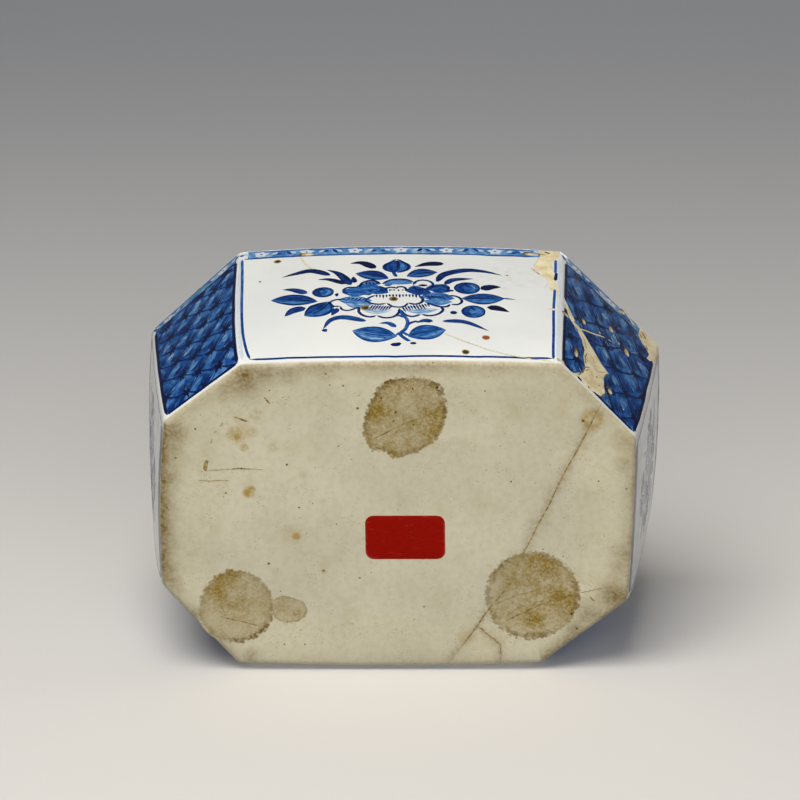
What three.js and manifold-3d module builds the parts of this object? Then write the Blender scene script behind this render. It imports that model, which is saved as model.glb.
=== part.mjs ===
// Octagonal butter tub of blue and white tin-glazed earthenware, broken once and restored.
// Millimetres, +Z up. The tub stands on its base with its length along X and its front long
// wall towards -Y. The origin is the middle of the base, on the surface that the tub stands on.
import * as THREE from 'three';
import { mergeVertices } from 'three/addons/utils/BufferGeometryUtils.js';
import Module from 'manifold-3d';

const wasm = await Module();
wasm.setup();

// Overall size
const height = 60;
const baseLength = 116.8;
const baseWidth = 81.3;
const rimLength = 132.2;
const rimWidth = 95.7;

// How far each end wall's back edge leans to the left of the wall's middle
const endSlant = -1.7;

// Corner cuts, each measured along the length and across the width of the uncut corner
const baseCuts = {
  frontRight: { along: 17.8, across: 19.8 },
  backRight: { along: 22.5, across: 17.2 },
  backLeft: { along: 17.8, across: 22.0 },
  frontLeft: { along: 20.9, across: 15.3 },
};
const rimCuts = {
  frontRight: { along: 24.7, across: 26.4 },
  backRight: { along: 27.2, across: 22.9 },
  backLeft: { along: 22.5, across: 27.8 },
  frontLeft: { along: 24.5, across: 21.8 },
};

// Thicknesses and edges of the clay
const wallThickness = 4.5;
const floorThickness = 5;
const arrisRound = 1.1;
const footRound = 0.8;
const lipRound = 1.2;
const cornerFillet = 4;

// Slight hollow under the base, inside the narrow band that the tub stands on
const footBand = 1.8;
const dishSlope = 1;
const dishDepth = 0.4;

// How far the slab walls belly out on their way up, most at a third of the height
const longBelly = 1.5;
const endBelly = 0.9;
const rightCornerBelly = 1.1;
const leftCornerBelly = 1.9;

// How far the walls bow out between their corners, at the base and at the rim
const longBow = { base: 0.8, rim: 1.6 };
const endBow = { base: 0.3, rim: 0.8 };

// Cuts between the pieces of the broken tub, and how deep the corner wall's fill goes
const breakGap = 0.4;
const fillGap = 0.3;
const cornerFillDepth = 3;

// Films under the base: a paper label and what is left of three felt pads
const filmGap = 0.05;
const filmThickness = 0.12;
const labelLength = 20;
const labelWidth = 12;
const labelRound = 2.1;

const frontPadRadius = 10.3;
const leftPadRadius = 8.7;
const rightPadRadius = 11;
const smallPadRadius = 3.3;

// Their places, as shares of the base's half length and half width
const labelSpot = [0.033, 0.15];
const frontPadSpot = [0.038, -0.652];
const leftPadSpot = [-0.678, 0.58];
const rightPadSpot = [0.579, 0.539];
const smallPadSpot = [-0.459, 0.642];

// Walls, counted from the front one towards the right end and round the back
const walls = [
  'front', 'frontRight', 'rightEnd', 'backRight', 'back', 'backLeft', 'leftEnd', 'frontLeft',
];
const frontWall = walls.indexOf('front');
const frontRightWall = walls.indexOf('frontRight');
const backWall = walls.indexOf('back');
const bellies = [
  longBelly, rightCornerBelly, endBelly, rightCornerBelly,
  longBelly, leftCornerBelly, endBelly, leftCornerBelly,
];
const straight = { base: 0, rim: 0 };
const bows = [longBow, straight, endBow, straight, longBow, straight, endBow, straight];

// Facets of each wall between its corners
const longSteps = 6;
const endSteps = 4;
const cornerSteps = 1;
const steps = [
  longSteps, cornerSteps, endSteps, cornerSteps,
  longSteps, cornerSteps, endSteps, cornerSteps,
];

// The eight plan corners of one level, from the front wall's left end towards the right
function octagon(length, width, cuts) {
  const a = length / 2;
  const b = width / 2;
  const endPoint = (side, y) => new THREE.Vector2(side * a + endSlant * y / b, y);
  return [
    new THREE.Vector2(cuts.frontLeft.along - a, -b),
    new THREE.Vector2(a - cuts.frontRight.along, -b),
    endPoint(1, cuts.frontRight.across - b),
    endPoint(1, b - cuts.backRight.across),
    new THREE.Vector2(a - cuts.backRight.along, b),
    new THREE.Vector2(cuts.backLeft.along - a, b),
    endPoint(-1, b - cuts.backLeft.across),
    endPoint(-1, cuts.frontLeft.across - b),
  ];
}

const baseCorners = octagon(baseLength, baseWidth, baseCuts);
const rimCorners = octagon(rimLength, rimWidth, rimCuts);

// Direction along the edge from a to b, and the outward normal beside it
function along(a, b) {
  return b.clone().sub(a).normalize();
}

function outward(a, b) {
  const run = along(a, b);
  return new THREE.Vector2(run.y, -run.x);
}

// Moves every edge of a counter-clockwise outline outwards by its own distance
function offsetEdges(points, distances) {
  const count = points.length;
  return points.map((point, i) => {
    const before = (i + count - 1) % count;
    const n = outward(points[before], point);
    const m = outward(point, points[(i + 1) % count]);
    const c = n.dot(point) + distances[before];
    const d = m.dot(point) + distances[i];
    const det = n.x * m.y - n.y * m.x;
    return new THREE.Vector2((c * m.y - d * n.y) / det, (n.x * d - m.x * c) / det);
  });
}

// The belly's share at a height: steep by the foot, full at a third, none at the rim
const bellyPeak = 2 / (3 * Math.sqrt(3));
function bellyAt(rise) {
  const share = THREE.MathUtils.clamp(rise, 0, 1);
  return Math.sqrt(share) * (1 - share) / bellyPeak;
}

// Plan corners at a height, moved in by an inset from the outside
function cornersAt(z, inset = 0) {
  const rise = z / height;
  const level = baseCorners.map((corner, i) => corner.clone().lerp(rimCorners[i], rise));
  return offsetEdges(level, bellies.map((belly) => belly * bellyAt(rise) - inset));
}

// A point on a wall: share 0 to 1 along it, the height, and how far in from the outside
function wallPoint(wall, share, z, inset = 0) {
  const corners = cornersAt(z, inset);
  const a = corners[wall];
  const b = corners[(wall + 1) % corners.length];
  const bow = THREE.MathUtils.lerp(bows[wall].base, bows[wall].rim, z / height);
  const out = outward(a, b).multiplyScalar(bow * (1 - (2 * share - 1) ** 2));
  return a.clone().lerp(b, share).add(out);
}

// One level of the tub: bowed walls that meet in small rounded arrises
function ringAt(z, inset = 0) {
  const corners = cornersAt(z, inset);
  const ring = [];
  corners.forEach((corner, wall) => {
    const previous = corners[(wall + corners.length - 1) % corners.length];
    const next = corners[(wall + 1) % corners.length];
    const start = corner.clone().addScaledVector(along(corner, previous), arrisRound);
    const end = corner.clone().addScaledVector(along(corner, next), arrisRound);
    const middle = start.clone().add(end).add(corner).add(corner).divideScalar(4);
    ring.push(start, middle, end);
    for (let i = 1; i < steps[wall]; i += 1) {
      ring.push(wallPoint(wall, i / steps[wall], z, inset));
    }
  });
  return ring.map((p) => new THREE.Vector3(p.x, p.y, z));
}

// A closed solid through rings of equal point count, the first and last ones capped
function loft(rings) {
  const size = rings[0].length;
  const positions = rings.flat().flatMap((p) => [p.x, p.y, p.z]);
  const faces = [];
  for (let level = 0; level + 1 < rings.length; level += 1) {
    for (let i = 0; i < size; i += 1) {
      const a = level * size + i;
      const b = level * size + (i + 1) % size;
      faces.push(a, b, b + size, a, b + size, a + size);
    }
  }
  const cap = (ring, first, flip) => {
    const outline = ring.map((p) => new THREE.Vector2(p.x, p.y));
    for (const [a, b, c] of THREE.ShapeUtils.triangulateShape(outline, [])) {
      faces.push(first + a, first + (flip ? c : b), first + (flip ? b : c));
    }
  };
  cap(rings[0], 0, true);
  cap(rings.at(-1), (rings.length - 1) * size, false);
  const geometry = new THREE.BufferGeometry();
  geometry.setAttribute('position', new THREE.Float32BufferAttribute(positions, 3));
  geometry.setIndex(faces);
  return geometry;
}

// A solid for joining and cutting, and the way back to a geometry
function solidOf(geometry) {
  const bare = geometry.clone();
  bare.deleteAttribute('normal');
  bare.deleteAttribute('uv');
  const merged = mergeVertices(bare);
  return new wasm.Manifold(new wasm.Mesh({
    numProp: 3,
    vertProperties: new Float32Array(merged.attributes.position.array),
    triVerts: new Uint32Array(merged.index.array),
  }));
}

function geometryOf(solid) {
  const mesh = solid.getMesh();
  const geometry = new THREE.BufferGeometry();
  geometry.setAttribute('position', new THREE.BufferAttribute(mesh.vertProperties, 3));
  geometry.setIndex(new THREE.BufferAttribute(mesh.triVerts, 1));
  return geometry;
}

// The whole tub before it broke: under the foot, up the outside, over the lip, down inside
const eighth = 1 - Math.SQRT1_2;
const outerLevels = [0.05, 0.12, 0.22, 0.35, 0.52, 0.74].map((share) => share * height);
const innerLevels = [0.78, 0.55, 0.36, 0.24].map((share) => share * height);
const footRings = [
  ringAt(dishDepth, footRound + footBand + dishSlope),
  ringAt(0, footRound + footBand),
  ringAt(0, footRound),
  ringAt(footRound * eighth, footRound * eighth),
  ringAt(footRound),
];
const lipRings = [
  ringAt(height - lipRound),
  ringAt(height - lipRound * eighth, lipRound * eighth),
  ringAt(height, lipRound),
  ringAt(height, wallThickness - lipRound),
  ringAt(height - lipRound * eighth, wallThickness - lipRound * eighth),
  ringAt(height - lipRound, wallThickness),
];
const floorRings = [
  ringAt(floorThickness + cornerFillet, wallThickness),
  ringAt(floorThickness + cornerFillet * eighth, wallThickness + cornerFillet * eighth),
  ringAt(floorThickness, wallThickness + cornerFillet),
];
const wholeTub = solidOf(loft([
  ...footRings,
  ...outerLevels.map((z) => ringAt(z)),
  ...lipRings,
  ...innerLevels.map((z) => ringAt(z, wallThickness)),
  ...floorRings,
]));

// The long break. It leaves the rim at the front right, follows the arris down to the front
// right corner wall, crosses the base and climbs the back wall. Each level gives where it
// comes through the outside: a wall, a share along it and a share of the height.
const longBreakFront = [
  { wall: frontRightWall, share: 0.46, rise: 0 },
  { wall: frontRightWall, share: 0.41, rise: 0.13 },
  { wall: frontRightWall, share: 0.34, rise: 0.25 },
  { wall: frontRightWall, share: 0.27, rise: 0.34 },
  { wall: frontRightWall, share: 0.18, rise: 0.41 },
  { wall: frontRightWall, share: 0.03, rise: 0.55 },
  { wall: frontWall, share: 0.955, rise: 0.7 },
  { wall: frontWall, share: 0.95, rise: 1 },
];
const longBreakBack = [0.31, 0.28, 0.26, 0.25, 0.24, 0.21, 0.19, 0.17];

// The same break across the base, as shares of the base's half length and half width
const longBreakBase = [
  [0.85, -0.69],
  [0.666, -0.125],
  [0.526, 0.3],
  [0.469, 0.504],
  [0.396, 0.608],
  [0.342, 0.76],
];

// How far cutting shapes reach past the clay, and how far in they go right through a wall
const reach = 8;
const throughWall = wallThickness + cornerFillet;

function baseSpot([x, y]) {
  return new THREE.Vector2(x * baseLength / 2, y * baseWidth / 2);
}

function frontOf(level, z, depth) {
  const corners = cornersAt(z);
  const n = outward(corners[level.wall], corners[level.wall + 1]);
  return wallPoint(level.wall, level.share, z).addScaledVector(n, -depth);
}

// Everything to the right of the long break, moved sideways by half the gap
function rightOfBreak(shift) {
  const levels = longBreakFront.map((front, i) => {
    const z = front.rise * height;
    const across = longBreakBase.map(baseSpot);
    const floorLevel = front.rise * height < floorThickness;
    const inner = frontOf(front, z, throughWall);
    const back = wallPoint(backWall, longBreakBack[i], z);
    const line = [
      frontOf(front, z, -reach),
      floorLevel ? across[0] : inner,
      ...across.slice(1),
      back,
      new THREE.Vector2(back.x, back.y + reach),
      new THREE.Vector2(rimLength, back.y + reach),
      new THREE.Vector2(rimLength, -rimWidth),
      new THREE.Vector2(frontOf(front, z, -reach).x, -rimWidth),
    ];
    return { z, line };
  });
  const ring = ({ z, line }) => line.map((p) => new THREE.Vector3(p.x + shift, p.y, z));
  const [low] = levels;
  const high = levels.at(-1);
  return solidOf(loft([
    { z: -reach, line: low.line },
    { z: floorThickness, line: low.line },
    ...levels.slice(1, -1),
    high,
    { z: height + reach, line: high.line },
  ].map(ring).map((points) => points.reverse())));
}

// Grows a counter-clockwise outline by a gap, each corner along its mitre
function grown(outline, gap) {
  return outline.map((point, i) => {
    const previous = outline.at(i - 1);
    const next = outline[(i + 1) % outline.length];
    const n = outward(previous, point);
    const m = outward(point, next);
    return point.clone().addScaledVector(n.clone().add(m), gap / (1 + n.dot(m)));
  });
}

// A plug into a wall: its outline is given on the outside, as a share along the wall and a
// share of the height, and it reaches from outside the tub to a depth in the clay or past it
function plug(wall, outline, gap = 0, depth = throughWall) {
  const a = baseCorners[wall];
  const b = baseCorners[wall + 1];
  const run = a.distanceTo(b);
  const flat = outline.map(([share, rise]) => new THREE.Vector2(share * run, rise * height));
  const sized = grown(flat, gap);
  const n = outward(a, b);
  const face = (offset) => sized.map((p) => {
    const onWall = wallPoint(wall, p.x / run, p.y).addScaledVector(n, offset);
    return new THREE.Vector3(onWall.x, onWall.y, p.y);
  });
  const inner = face(-depth - gap);
  const outer = face(reach);
  const size = sized.length;
  const faces = [];
  for (let i = 0; i < size; i += 1) {
    const j = (i + 1) % size;
    faces.push(i, j, size + j, i, size + j, size + i);
  }
  for (const [p, q, r] of THREE.ShapeUtils.triangulateShape(sized, [])) {
    faces.push(p, r, q, size + p, size + q, size + r);
  }
  const geometry = new THREE.BufferGeometry();
  const positions = [...inner, ...outer].flatMap((p) => [p.x, p.y, p.z]);
  geometry.setAttribute('position', new THREE.Float32BufferAttribute(positions, 3));
  geometry.setIndex(faces);
  return solidOf(geometry);
}

// The rim piece above the branch break on the front right corner wall
const rimShardOutline = [
  [-0.7, 0.36],
  [0.1, 0.36],
  [0.16, 0.4],
  [0.32, 0.475],
  [0.5, 0.535],
  [0.7, 0.6],
  [0.86, 0.76],
  [0.92, 0.9],
  [0.94, 1.2],
  [-0.7, 1.2],
];

// The restorer's fills, counter-clockwise on their walls seen from outside
const cornerFillOutline = [
  [0.2, 0.05],
  [0.5, 0.045],
  [0.52, 0.1],
  [0.49, 0.2],
  [0.55, 0.28],
  [0.4, 0.33],
  [0.23, 0.41],
  [0.17, 0.4],
  [0.24, 0.33],
  [0.26, 0.13],
];
const frontFillOutline = [
  [0.965, 0.62],
  [0.973, 0.62],
  [0.985, 0.75],
  [0.985, 1.2],
  [0.92, 1.2],
  [0.925, 0.9],
  [0.915, 0.8],
  [0.94, 0.71],
];
const rimFillOutline = [
  [0.86, 0.8],
  [0.92, 0.76],
  [1.06, 0.8],
  [1.12, 1.2],
  [0.82, 1.2],
  [0.81, 0.9],
];

// The small floor piece between the two branches of the break, by the back edge: how high
// it climbs the back wall, and how far past the break its slanted side starts up there
const floorShardTop = 15;
const floorShardOverrun = 2;
function floorShardSpace(gap = 0) {
  const tip = baseSpot(longBreakBase.at(-1));
  const corner = baseSpot([0.437, 0.885]);
  const outside = rimWidth;
  const level = (z, shrink) => [
    new THREE.Vector3(0, tip.y - gap, z),
    new THREE.Vector3(tip.x + gap - shrink, tip.y - gap, z),
    new THREE.Vector3(corner.x + gap - shrink, corner.y, z),
    new THREE.Vector3(corner.x + gap - shrink, outside, z),
    new THREE.Vector3(0, outside, z),
  ];
  const narrowing = corner.x - tip.x + floorShardOverrun;
  return solidOf(loft([
    level(-reach, 0),
    level(floorThickness, 0),
    level(floorShardTop + gap, narrowing),
  ]));
}

// Cutting the tub along its breaks, then letting the fills in
const tubLeft = wholeTub.subtract(rightOfBreak(-breakGap / 2));
const tubRight = wholeTub.intersect(rightOfBreak(breakGap / 2));
const rimShard = tubRight.intersect(plug(frontRightWall, rimShardOutline));
const withoutRim = tubRight.subtract(plug(frontRightWall, rimShardOutline, breakGap));
const floorShard = withoutRim.intersect(floorShardSpace());
const endShard = withoutRim.subtract(floorShardSpace(breakGap));

const fills = [
  { wall: frontRightWall, outline: cornerFillOutline, depth: cornerFillDepth },
  { wall: frontWall, outline: frontFillOutline, depth: throughWall },
  { wall: frontRightWall, outline: rimFillOutline, depth: throughWall },
];
const [cornerFill, frontFill, rimFill] = fills
  .map(({ wall, outline, depth }) => wholeTub.intersect(plug(wall, outline, 0, depth)));

// The largest body of a cut piece, without crumbs that a cut left beside it
function mainBody(solid) {
  const bodies = solid.decompose();
  bodies.sort((a, b) => b.volume() - a.volume());
  return bodies[0];
}

function letIn(solid) {
  return mainBody(fills.reduce(
    (rest, { wall, outline, depth }) => rest.subtract(plug(wall, outline, fillGap, depth)),
    solid,
  ));
}

// The room under the dished base, where the films lie
const dishInset = footRound + footBand + dishSlope + filmGap;
const dishRoom = solidOf(loft([-reach, dishDepth].map((z) => (
  ringAt(0, dishInset).map((p) => new THREE.Vector3(p.x, p.y, z))
))));

// A thin film under the base, trimmed where it would run onto the foot
function film(shape) {
  const geometry = new THREE.ExtrudeGeometry(shape, {
    depth: filmThickness,
    bevelEnabled: false,
    curveSegments: 4,
  });
  geometry.translate(0, 0, dishDepth - filmGap - filmThickness);
  return geometryOf(mainBody(solidOf(geometry).intersect(dishRoom)));
}

function labelShape() {
  const spot = baseSpot(labelSpot);
  const a = labelLength / 2;
  const b = labelWidth / 2;
  const r = labelRound;
  const shape = new THREE.Shape();
  shape.moveTo(spot.x - a + r, spot.y - b);
  shape.lineTo(spot.x + a - r, spot.y - b);
  shape.absarc(spot.x + a - r, spot.y - b + r, r, -Math.PI / 2, 0);
  shape.absarc(spot.x + a - r, spot.y + b - r, r, 0, Math.PI / 2);
  shape.absarc(spot.x - a + r, spot.y + b - r, r, Math.PI / 2, Math.PI);
  shape.absarc(spot.x - a + r, spot.y - b + r, r, Math.PI, 1.5 * Math.PI);
  return shape;
}

// A pad's mark: a disc whose edge waves in and out by a share of its radius, in a few lobes
const padSides = 28;
function padShape(spot, radius, lobes, wave) {
  const centre = baseSpot(spot);
  const points = [];
  for (let i = 0; i < padSides; i += 1) {
    const turn = 2 * Math.PI * i / padSides;
    const r = radius * (1 + wave * Math.sin(lobes * (turn + 1)));
    points.push(new THREE.Vector2(r * Math.cos(turn), r * Math.sin(turn)).add(centre));
  }
  return new THREE.Shape(points);
}

// Colours and finishes of the clay and glaze, the fills, the paper and the pad marks
const glaze = { color: '#e3e1da', roughness: 0.22, metalness: 0 };
const filler = { color: '#dccba4', roughness: 0.6, metalness: 0 };
const paper = { color: '#8f1d12', roughness: 0.7, metalness: 0 };
const residue = { color: '#9a8458', roughness: 0.9, metalness: 0 };

const butterTub = new THREE.Group();
function add(name, geometry, finish) {
  geometry.computeVertexNormals();
  const mesh = new THREE.Mesh(geometry, new THREE.MeshStandardMaterial(finish));
  mesh.name = name;
  butterTub.add(mesh);
}

add('tub_body', geometryOf(letIn(tubLeft)), glaze);
add('right_end_shard', geometryOf(letIn(endShard)), glaze);
add('corner_rim_shard', geometryOf(letIn(rimShard)), glaze);
add('floor_edge_shard', geometryOf(mainBody(floorShard)), glaze);
add('corner_fill', geometryOf(mainBody(cornerFill)), filler);
add('front_rim_fill', geometryOf(mainBody(frontFill)), filler);
add('rim_corner_fill', geometryOf(mainBody(rimFill)), filler);
add('paper_label', film(labelShape()), paper);
add('pad_residue_front', film(padShape(frontPadSpot, frontPadRadius, 3, 0.025)), residue);
add('pad_residue_left', film(padShape(leftPadSpot, leftPadRadius, 4, 0.04)), residue);
add('pad_residue_right', film(padShape(rightPadSpot, rightPadRadius, 5, 0.04)), residue);
add('pad_residue_small', film(padShape(smallPadSpot, smallPadRadius, 2, 0.08)), residue);

export default butterTub;
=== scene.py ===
"""Looks of a restored octagonal butter tub in blue and white tin-glazed earthenware.

The tub's form repeats the part's sizes in millimetres. The clay is raised ring by ring, cut along
its breaks and glazed. The painting, the seams, the fills and what sticks under the base are
pieces of their own.
"""
import logging
import math
from dataclasses import dataclass
from enum import Enum
from typing import Iterable, Sequence

import bmesh
import bpy
import numpy as np
from mathutils import Matrix, Vector


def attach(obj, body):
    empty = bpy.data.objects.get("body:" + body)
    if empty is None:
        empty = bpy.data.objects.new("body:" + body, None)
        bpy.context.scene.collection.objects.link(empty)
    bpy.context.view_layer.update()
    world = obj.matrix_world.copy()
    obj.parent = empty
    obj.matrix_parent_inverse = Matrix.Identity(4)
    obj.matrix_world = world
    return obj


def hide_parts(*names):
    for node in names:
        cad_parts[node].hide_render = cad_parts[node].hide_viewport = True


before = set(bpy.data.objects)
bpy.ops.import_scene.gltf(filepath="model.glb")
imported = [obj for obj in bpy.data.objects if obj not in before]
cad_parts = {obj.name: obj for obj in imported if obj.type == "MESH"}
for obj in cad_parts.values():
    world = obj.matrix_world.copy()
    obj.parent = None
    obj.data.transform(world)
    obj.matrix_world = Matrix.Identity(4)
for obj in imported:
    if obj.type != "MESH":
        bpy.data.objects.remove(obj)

LOG = logging.getLogger("butter_tub")
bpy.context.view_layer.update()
MM = 0.001

# Walls, counted from the front one towards the right end and round the back
FRONT, FRONT_RIGHT, RIGHT_END, BACK_RIGHT, BACK, BACK_LEFT, LEFT_END, FRONT_LEFT = range(8)
WALL_COUNT = 8
# The flat underside counts as one more surface to paint on
BASE = 8
# Seeds of the brush, the seams and, with the wall's number added, the rim bands
BRUSH_SEED = 7
SEAM_SEED = 41
BORDER_SEED = 30

Array = np.ndarray
Object = bpy.types.Object
Material = bpy.types.Material
Socket = bpy.types.NodeSocket
Share = Socket | float
Rgb = tuple[float, float, float]
Spot = tuple[float, float]
Place = tuple[float, float, float]
Line = tuple[Spot, ...]
# A brush's line with its width and load
Touch = tuple[Line, float, float]


def unit(vectors: Array) -> Array:
    """Vectors along the last axis, each divided by its length."""
    return vectors / np.linalg.norm(vectors, axis=-1, keepdims=True)


def right_of(ways: Array) -> Array:
    """Plan directions turned a quarter to their right."""
    return np.stack([ways[..., 1], -ways[..., 0]], -1)


def spots(rows: Array) -> Line:
    """An array's rows as places of a line."""
    return tuple(map(tuple, rows))


@dataclass(frozen=True)
class TubForm:
    """The fired shape of the tub in millimetres, as in the part."""

    height: float = 60.0
    base_size: Spot = (116.8, 81.3)
    rim_size: Spot = (132.2, 95.7)
    end_slant: float = -1.7
    base_cuts: tuple[Spot, ...] = ((17.8, 19.8), (22.5, 17.2), (17.8, 22.0), (20.9, 15.3))
    rim_cuts: tuple[Spot, ...] = ((24.7, 26.4), (27.2, 22.9), (22.5, 27.8), (24.5, 21.8))
    wall: float = 4.5
    floor: float = 5.0
    arris: float = 0.9
    foot: float = 0.8
    lip: float = 1.2
    fillet: float = 4.0
    foot_band: float = 1.8
    dish_depth: float = 0.4
    bellies: tuple[float, ...] = (1.5, 1.1, 0.9, 1.1, 1.5, 1.9, 0.9, 1.9)
    bows: tuple[Spot, ...] = (
        (0.8, 1.6), (0, 0), (0.3, 0.8), (0, 0), (0.8, 1.6), (0, 0), (0.8, 0.8), (0, 0),
    )
    # Columns of the fine mesh along each wall, and how far in the first and last one stand at
    # the foot and at the rim, which is where the painted grounds end
    columns: tuple[int, ...] = (44, 14, 20, 14, 44, 14, 20, 14)
    foot_margins: tuple[Spot, ...] = (
        (2.2, 2.2), (1.0, 1.2), (1.6, 1.6), (1.2, 1.1), (2.2, 2.2), (1.1, 1.2), (1.6, 1.6), (1.2, 1.0),
    )
    rim_margins: tuple[Spot, ...] = (
        (2.2, 2.2), (1.9, 1.2), (1.6, 1.6), (1.2, 1.4), (2.2, 2.2), (1.4, 1.2), (1.6, 1.6), (1.2, 1.1),
    )

    # How far in from the foot band the underside reaches its full hollow
    hollow_run: float = 14.0
    # Steps over which a normal is measured, and how deep a rounded arris cuts its corner off
    normal_step: float = 0.2
    arris_pull: float = 0.177

    def hollow(self, inset: Array) -> Array:
        """How high the underside lies at a distance in from the outside."""
        share = np.clip((inset - self.foot - self.foot_band) / self.hollow_run, 0, 1)
        return self.dish_depth * share * share * (3 - 2 * share)

    def insets(self, plan: Array) -> Array:
        """How far in from the foot of each of the eight walls plan points lie."""
        corners = self.corners_at(np.zeros(1))[0]
        out = right_of(unit(np.roll(corners, -1, 0) - corners))
        return -((plan[..., None, :] - corners) * out).sum(-1)

    def octagon(self, size: Spot, cuts: Sequence[Spot]) -> Array:
        """Plan corners of one level, from the front wall's left end towards the right."""
        a, b = size[0] / 2, size[1] / 2
        front_right, back_right, back_left, front_left = cuts

        def end(side: int, y: float) -> Spot:
            """A corner of the right or left end, moved by the end's slant."""
            return (side * a + self.end_slant * y / b, y)

        return np.array([
            (front_left[0] - a, -b),
            (a - front_right[0], -b),
            end(1, front_right[1] - b),
            end(1, b - back_right[1]),
            (a - back_right[0], b),
            (back_left[0] - a, b),
            end(-1, b - back_left[1]),
            end(-1, front_left[1] - b),
        ])

    def corners_at(self, z: Array, inset: Array | float = 0.0) -> Array:
        """Plan corners at each height, bellied out and moved in by an inset.

        Args:
            z: heights, an array of n.
            inset: how far in from the outside.

        Returns:
            n by 8 by 2 coordinates.
        """
        z = np.atleast_1d(np.asarray(z, float))
        rise = (z / self.height)[:, None, None]
        base = self.octagon(self.base_size, self.base_cuts)
        level = base + (self.octagon(self.rim_size, self.rim_cuts) - base) * rise
        share = np.clip(z / self.height, 0, 1)
        peak = 2 / (3 * math.sqrt(3))
        belly = np.sqrt(share) * (1 - share) / peak
        out = belly[:, None] * np.array(self.bellies) - np.broadcast_to(inset, z.shape)[:, None]
        m = right_of(unit(np.roll(level, -1, 1) - level))
        n = np.roll(m, 1, 1)
        c = (n * level).sum(-1) + np.roll(out, 1, 1)
        d = (m * level).sum(-1) + out
        det = n[..., 0] * m[..., 1] - n[..., 1] * m[..., 0]
        x = (c * m[..., 1] - d * n[..., 1]) / det
        y = (n[..., 0] * d - m[..., 0] * c) / det
        return np.stack([x, y], -1)

    def edge(self, wall: int, z: Array, inset: float = 0.0) -> tuple[Array, Array, Array]:
        """A wall's left corner, the way along it and its outward normal, at each height."""
        corners = self.corners_at(z, inset)
        a, b = corners[:, wall], corners[:, (wall + 1) % WALL_COUNT]
        run = b - a
        return a, run, right_of(unit(run))

    def width(self, wall: int, z: Array) -> Array:
        """How wide a wall is at each height."""
        return np.linalg.norm(self.edge(wall, z)[1], axis=-1)

    def margin(self, wall: int, z: Array) -> Array:
        """How far in the painted ground of a wall starts and ends at each height, n by 2."""
        rise = np.clip(np.asarray(z, float) / self.height, 0, 1)[..., None]
        low, high = np.array(self.foot_margins[wall]), np.array(self.rim_margins[wall])
        return low + (high - low) * rise

    def bow(self, wall: int, share: Array, z: Array) -> Array:
        """How far a wall bows out between its corners."""
        low, high = self.bows[wall]
        return (low + (high - low) * z / self.height) * (1 - (2 * share - 1) ** 2)

    def wall_point(self, wall: int, share: Array, z: Array, inset: float = 0.0) -> Array:
        """Points on a wall's face in plan, at shares from 0 to 1 along it."""
        share, z = np.broadcast_arrays(np.asarray(share, float), np.asarray(z, float))
        share, z = np.atleast_1d(share), np.atleast_1d(z)
        a, run, out = self.edge(wall, z, inset)
        return a + run * share[:, None] + out * self.bow(wall, share, z)[:, None]

    def surface(self, wall: int, across: Array, up: Array, lift: Array | float = 0.0) -> Array:
        """Points of the outside in space, rounded arrises included.

        Args:
            wall: the wall, or BASE for the hollow underside.
            across: millimetres from the wall's middle line, or x on the base.
            up: the height, or y on the base.
            lift: how far off the glaze.

        Returns:
            n by 3 coordinates.
        """
        across, up = np.asarray(across, float), np.asarray(up, float)
        if wall == BASE:
            inset = self.insets(np.stack([across, up], -1)).min(-1)
            return np.stack([across, up, self.hollow(inset) - lift], -1)
        width = self.width(wall, up)
        share = across / width + 0.5
        near = np.clip(1 - (width / 2 - np.abs(across)) / self.arris, 0, 1)
        pull = self.arris_pull * self.arris * near ** 2
        a, run, out = self.edge(wall, up)
        plan = a + run * share[:, None]
        plan += out * (self.bow(wall, share, up) - pull + lift)[:, None]
        return np.column_stack([plan, up])

    def normal(self, wall: int, across: Array, up: Array) -> Array:
        """Outward normals of the same points."""
        if wall == BASE:
            return np.tile([0.0, 0.0, -1.0], (len(across), 1))
        step = self.normal_step
        along = self.surface(wall, across + step, up) - self.surface(wall, across - step, up)
        high = np.minimum(up + step, self.height)
        rise = self.surface(wall, across, high) - self.surface(wall, across, high - 2 * step)
        return unit(np.cross(along, rise))

    def ring_at(self, z: float, inset: float = 0.0) -> Array:
        """One level of the fine mesh: bowed walls that meet in small rounded arrises."""
        corners = self.corners_at(z, inset)[0]
        rounds = [0.0, 0.25, 0.5, 0.75, 1.0]
        ring = []
        for wall, corner in enumerate(corners):
            back = (wall - 1) % WALL_COUNT
            here = np.linalg.norm(corners[(wall + 1) % WALL_COUNT] - corner)
            there = np.linalg.norm(corners[back] - corner)
            start = self.wall_point(back, 1 - self.arris / there, z, inset)[0]
            end = self.wall_point(wall, self.arris / here, z, inset)[0]
            ring += [(1 - t) ** 2 * start + 2 * t * (1 - t) * corner + t * t * end for t in rounds]
            first, last = self.margin(wall, z)
            shares = np.linspace(first / here, 1 - last / here, self.columns[wall])
            ring += list(self.wall_point(wall, shares, z, inset))
        return np.array([(x, y, z) for x, y in ring])

    def locate(self, points: Array) -> tuple[Array, Array, Array]:
        """For points near the outside: their wall, how far across it, and how far inside."""
        corners = self.corners_at(points[:, 2])
        run = np.roll(corners, -1, 1) - corners
        way = unit(run)
        offset = points[:, None, :2] - corners
        depth = (right_of(way) * offset).sum(-1)
        wall = depth.argmax(1)
        rows = np.arange(len(points))
        along = (way * offset).sum(-1)[rows, wall]
        across = along - np.linalg.norm(run[rows, wall], axis=-1) / 2
        return wall, across, -depth[rows, wall]


FORM = TubForm()


def clear_selection() -> None:
    """Leaves object mode's selection empty."""
    if bpy.context.object and bpy.context.object.mode != "OBJECT":
        bpy.ops.object.mode_set(mode="OBJECT")
    bpy.ops.object.select_all(action="DESELECT")


def activate(obj: Object) -> None:
    """Makes one object the only selected and the active one."""
    clear_selection()
    obj.select_set(True)
    bpy.context.view_layer.objects.active = obj


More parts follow.
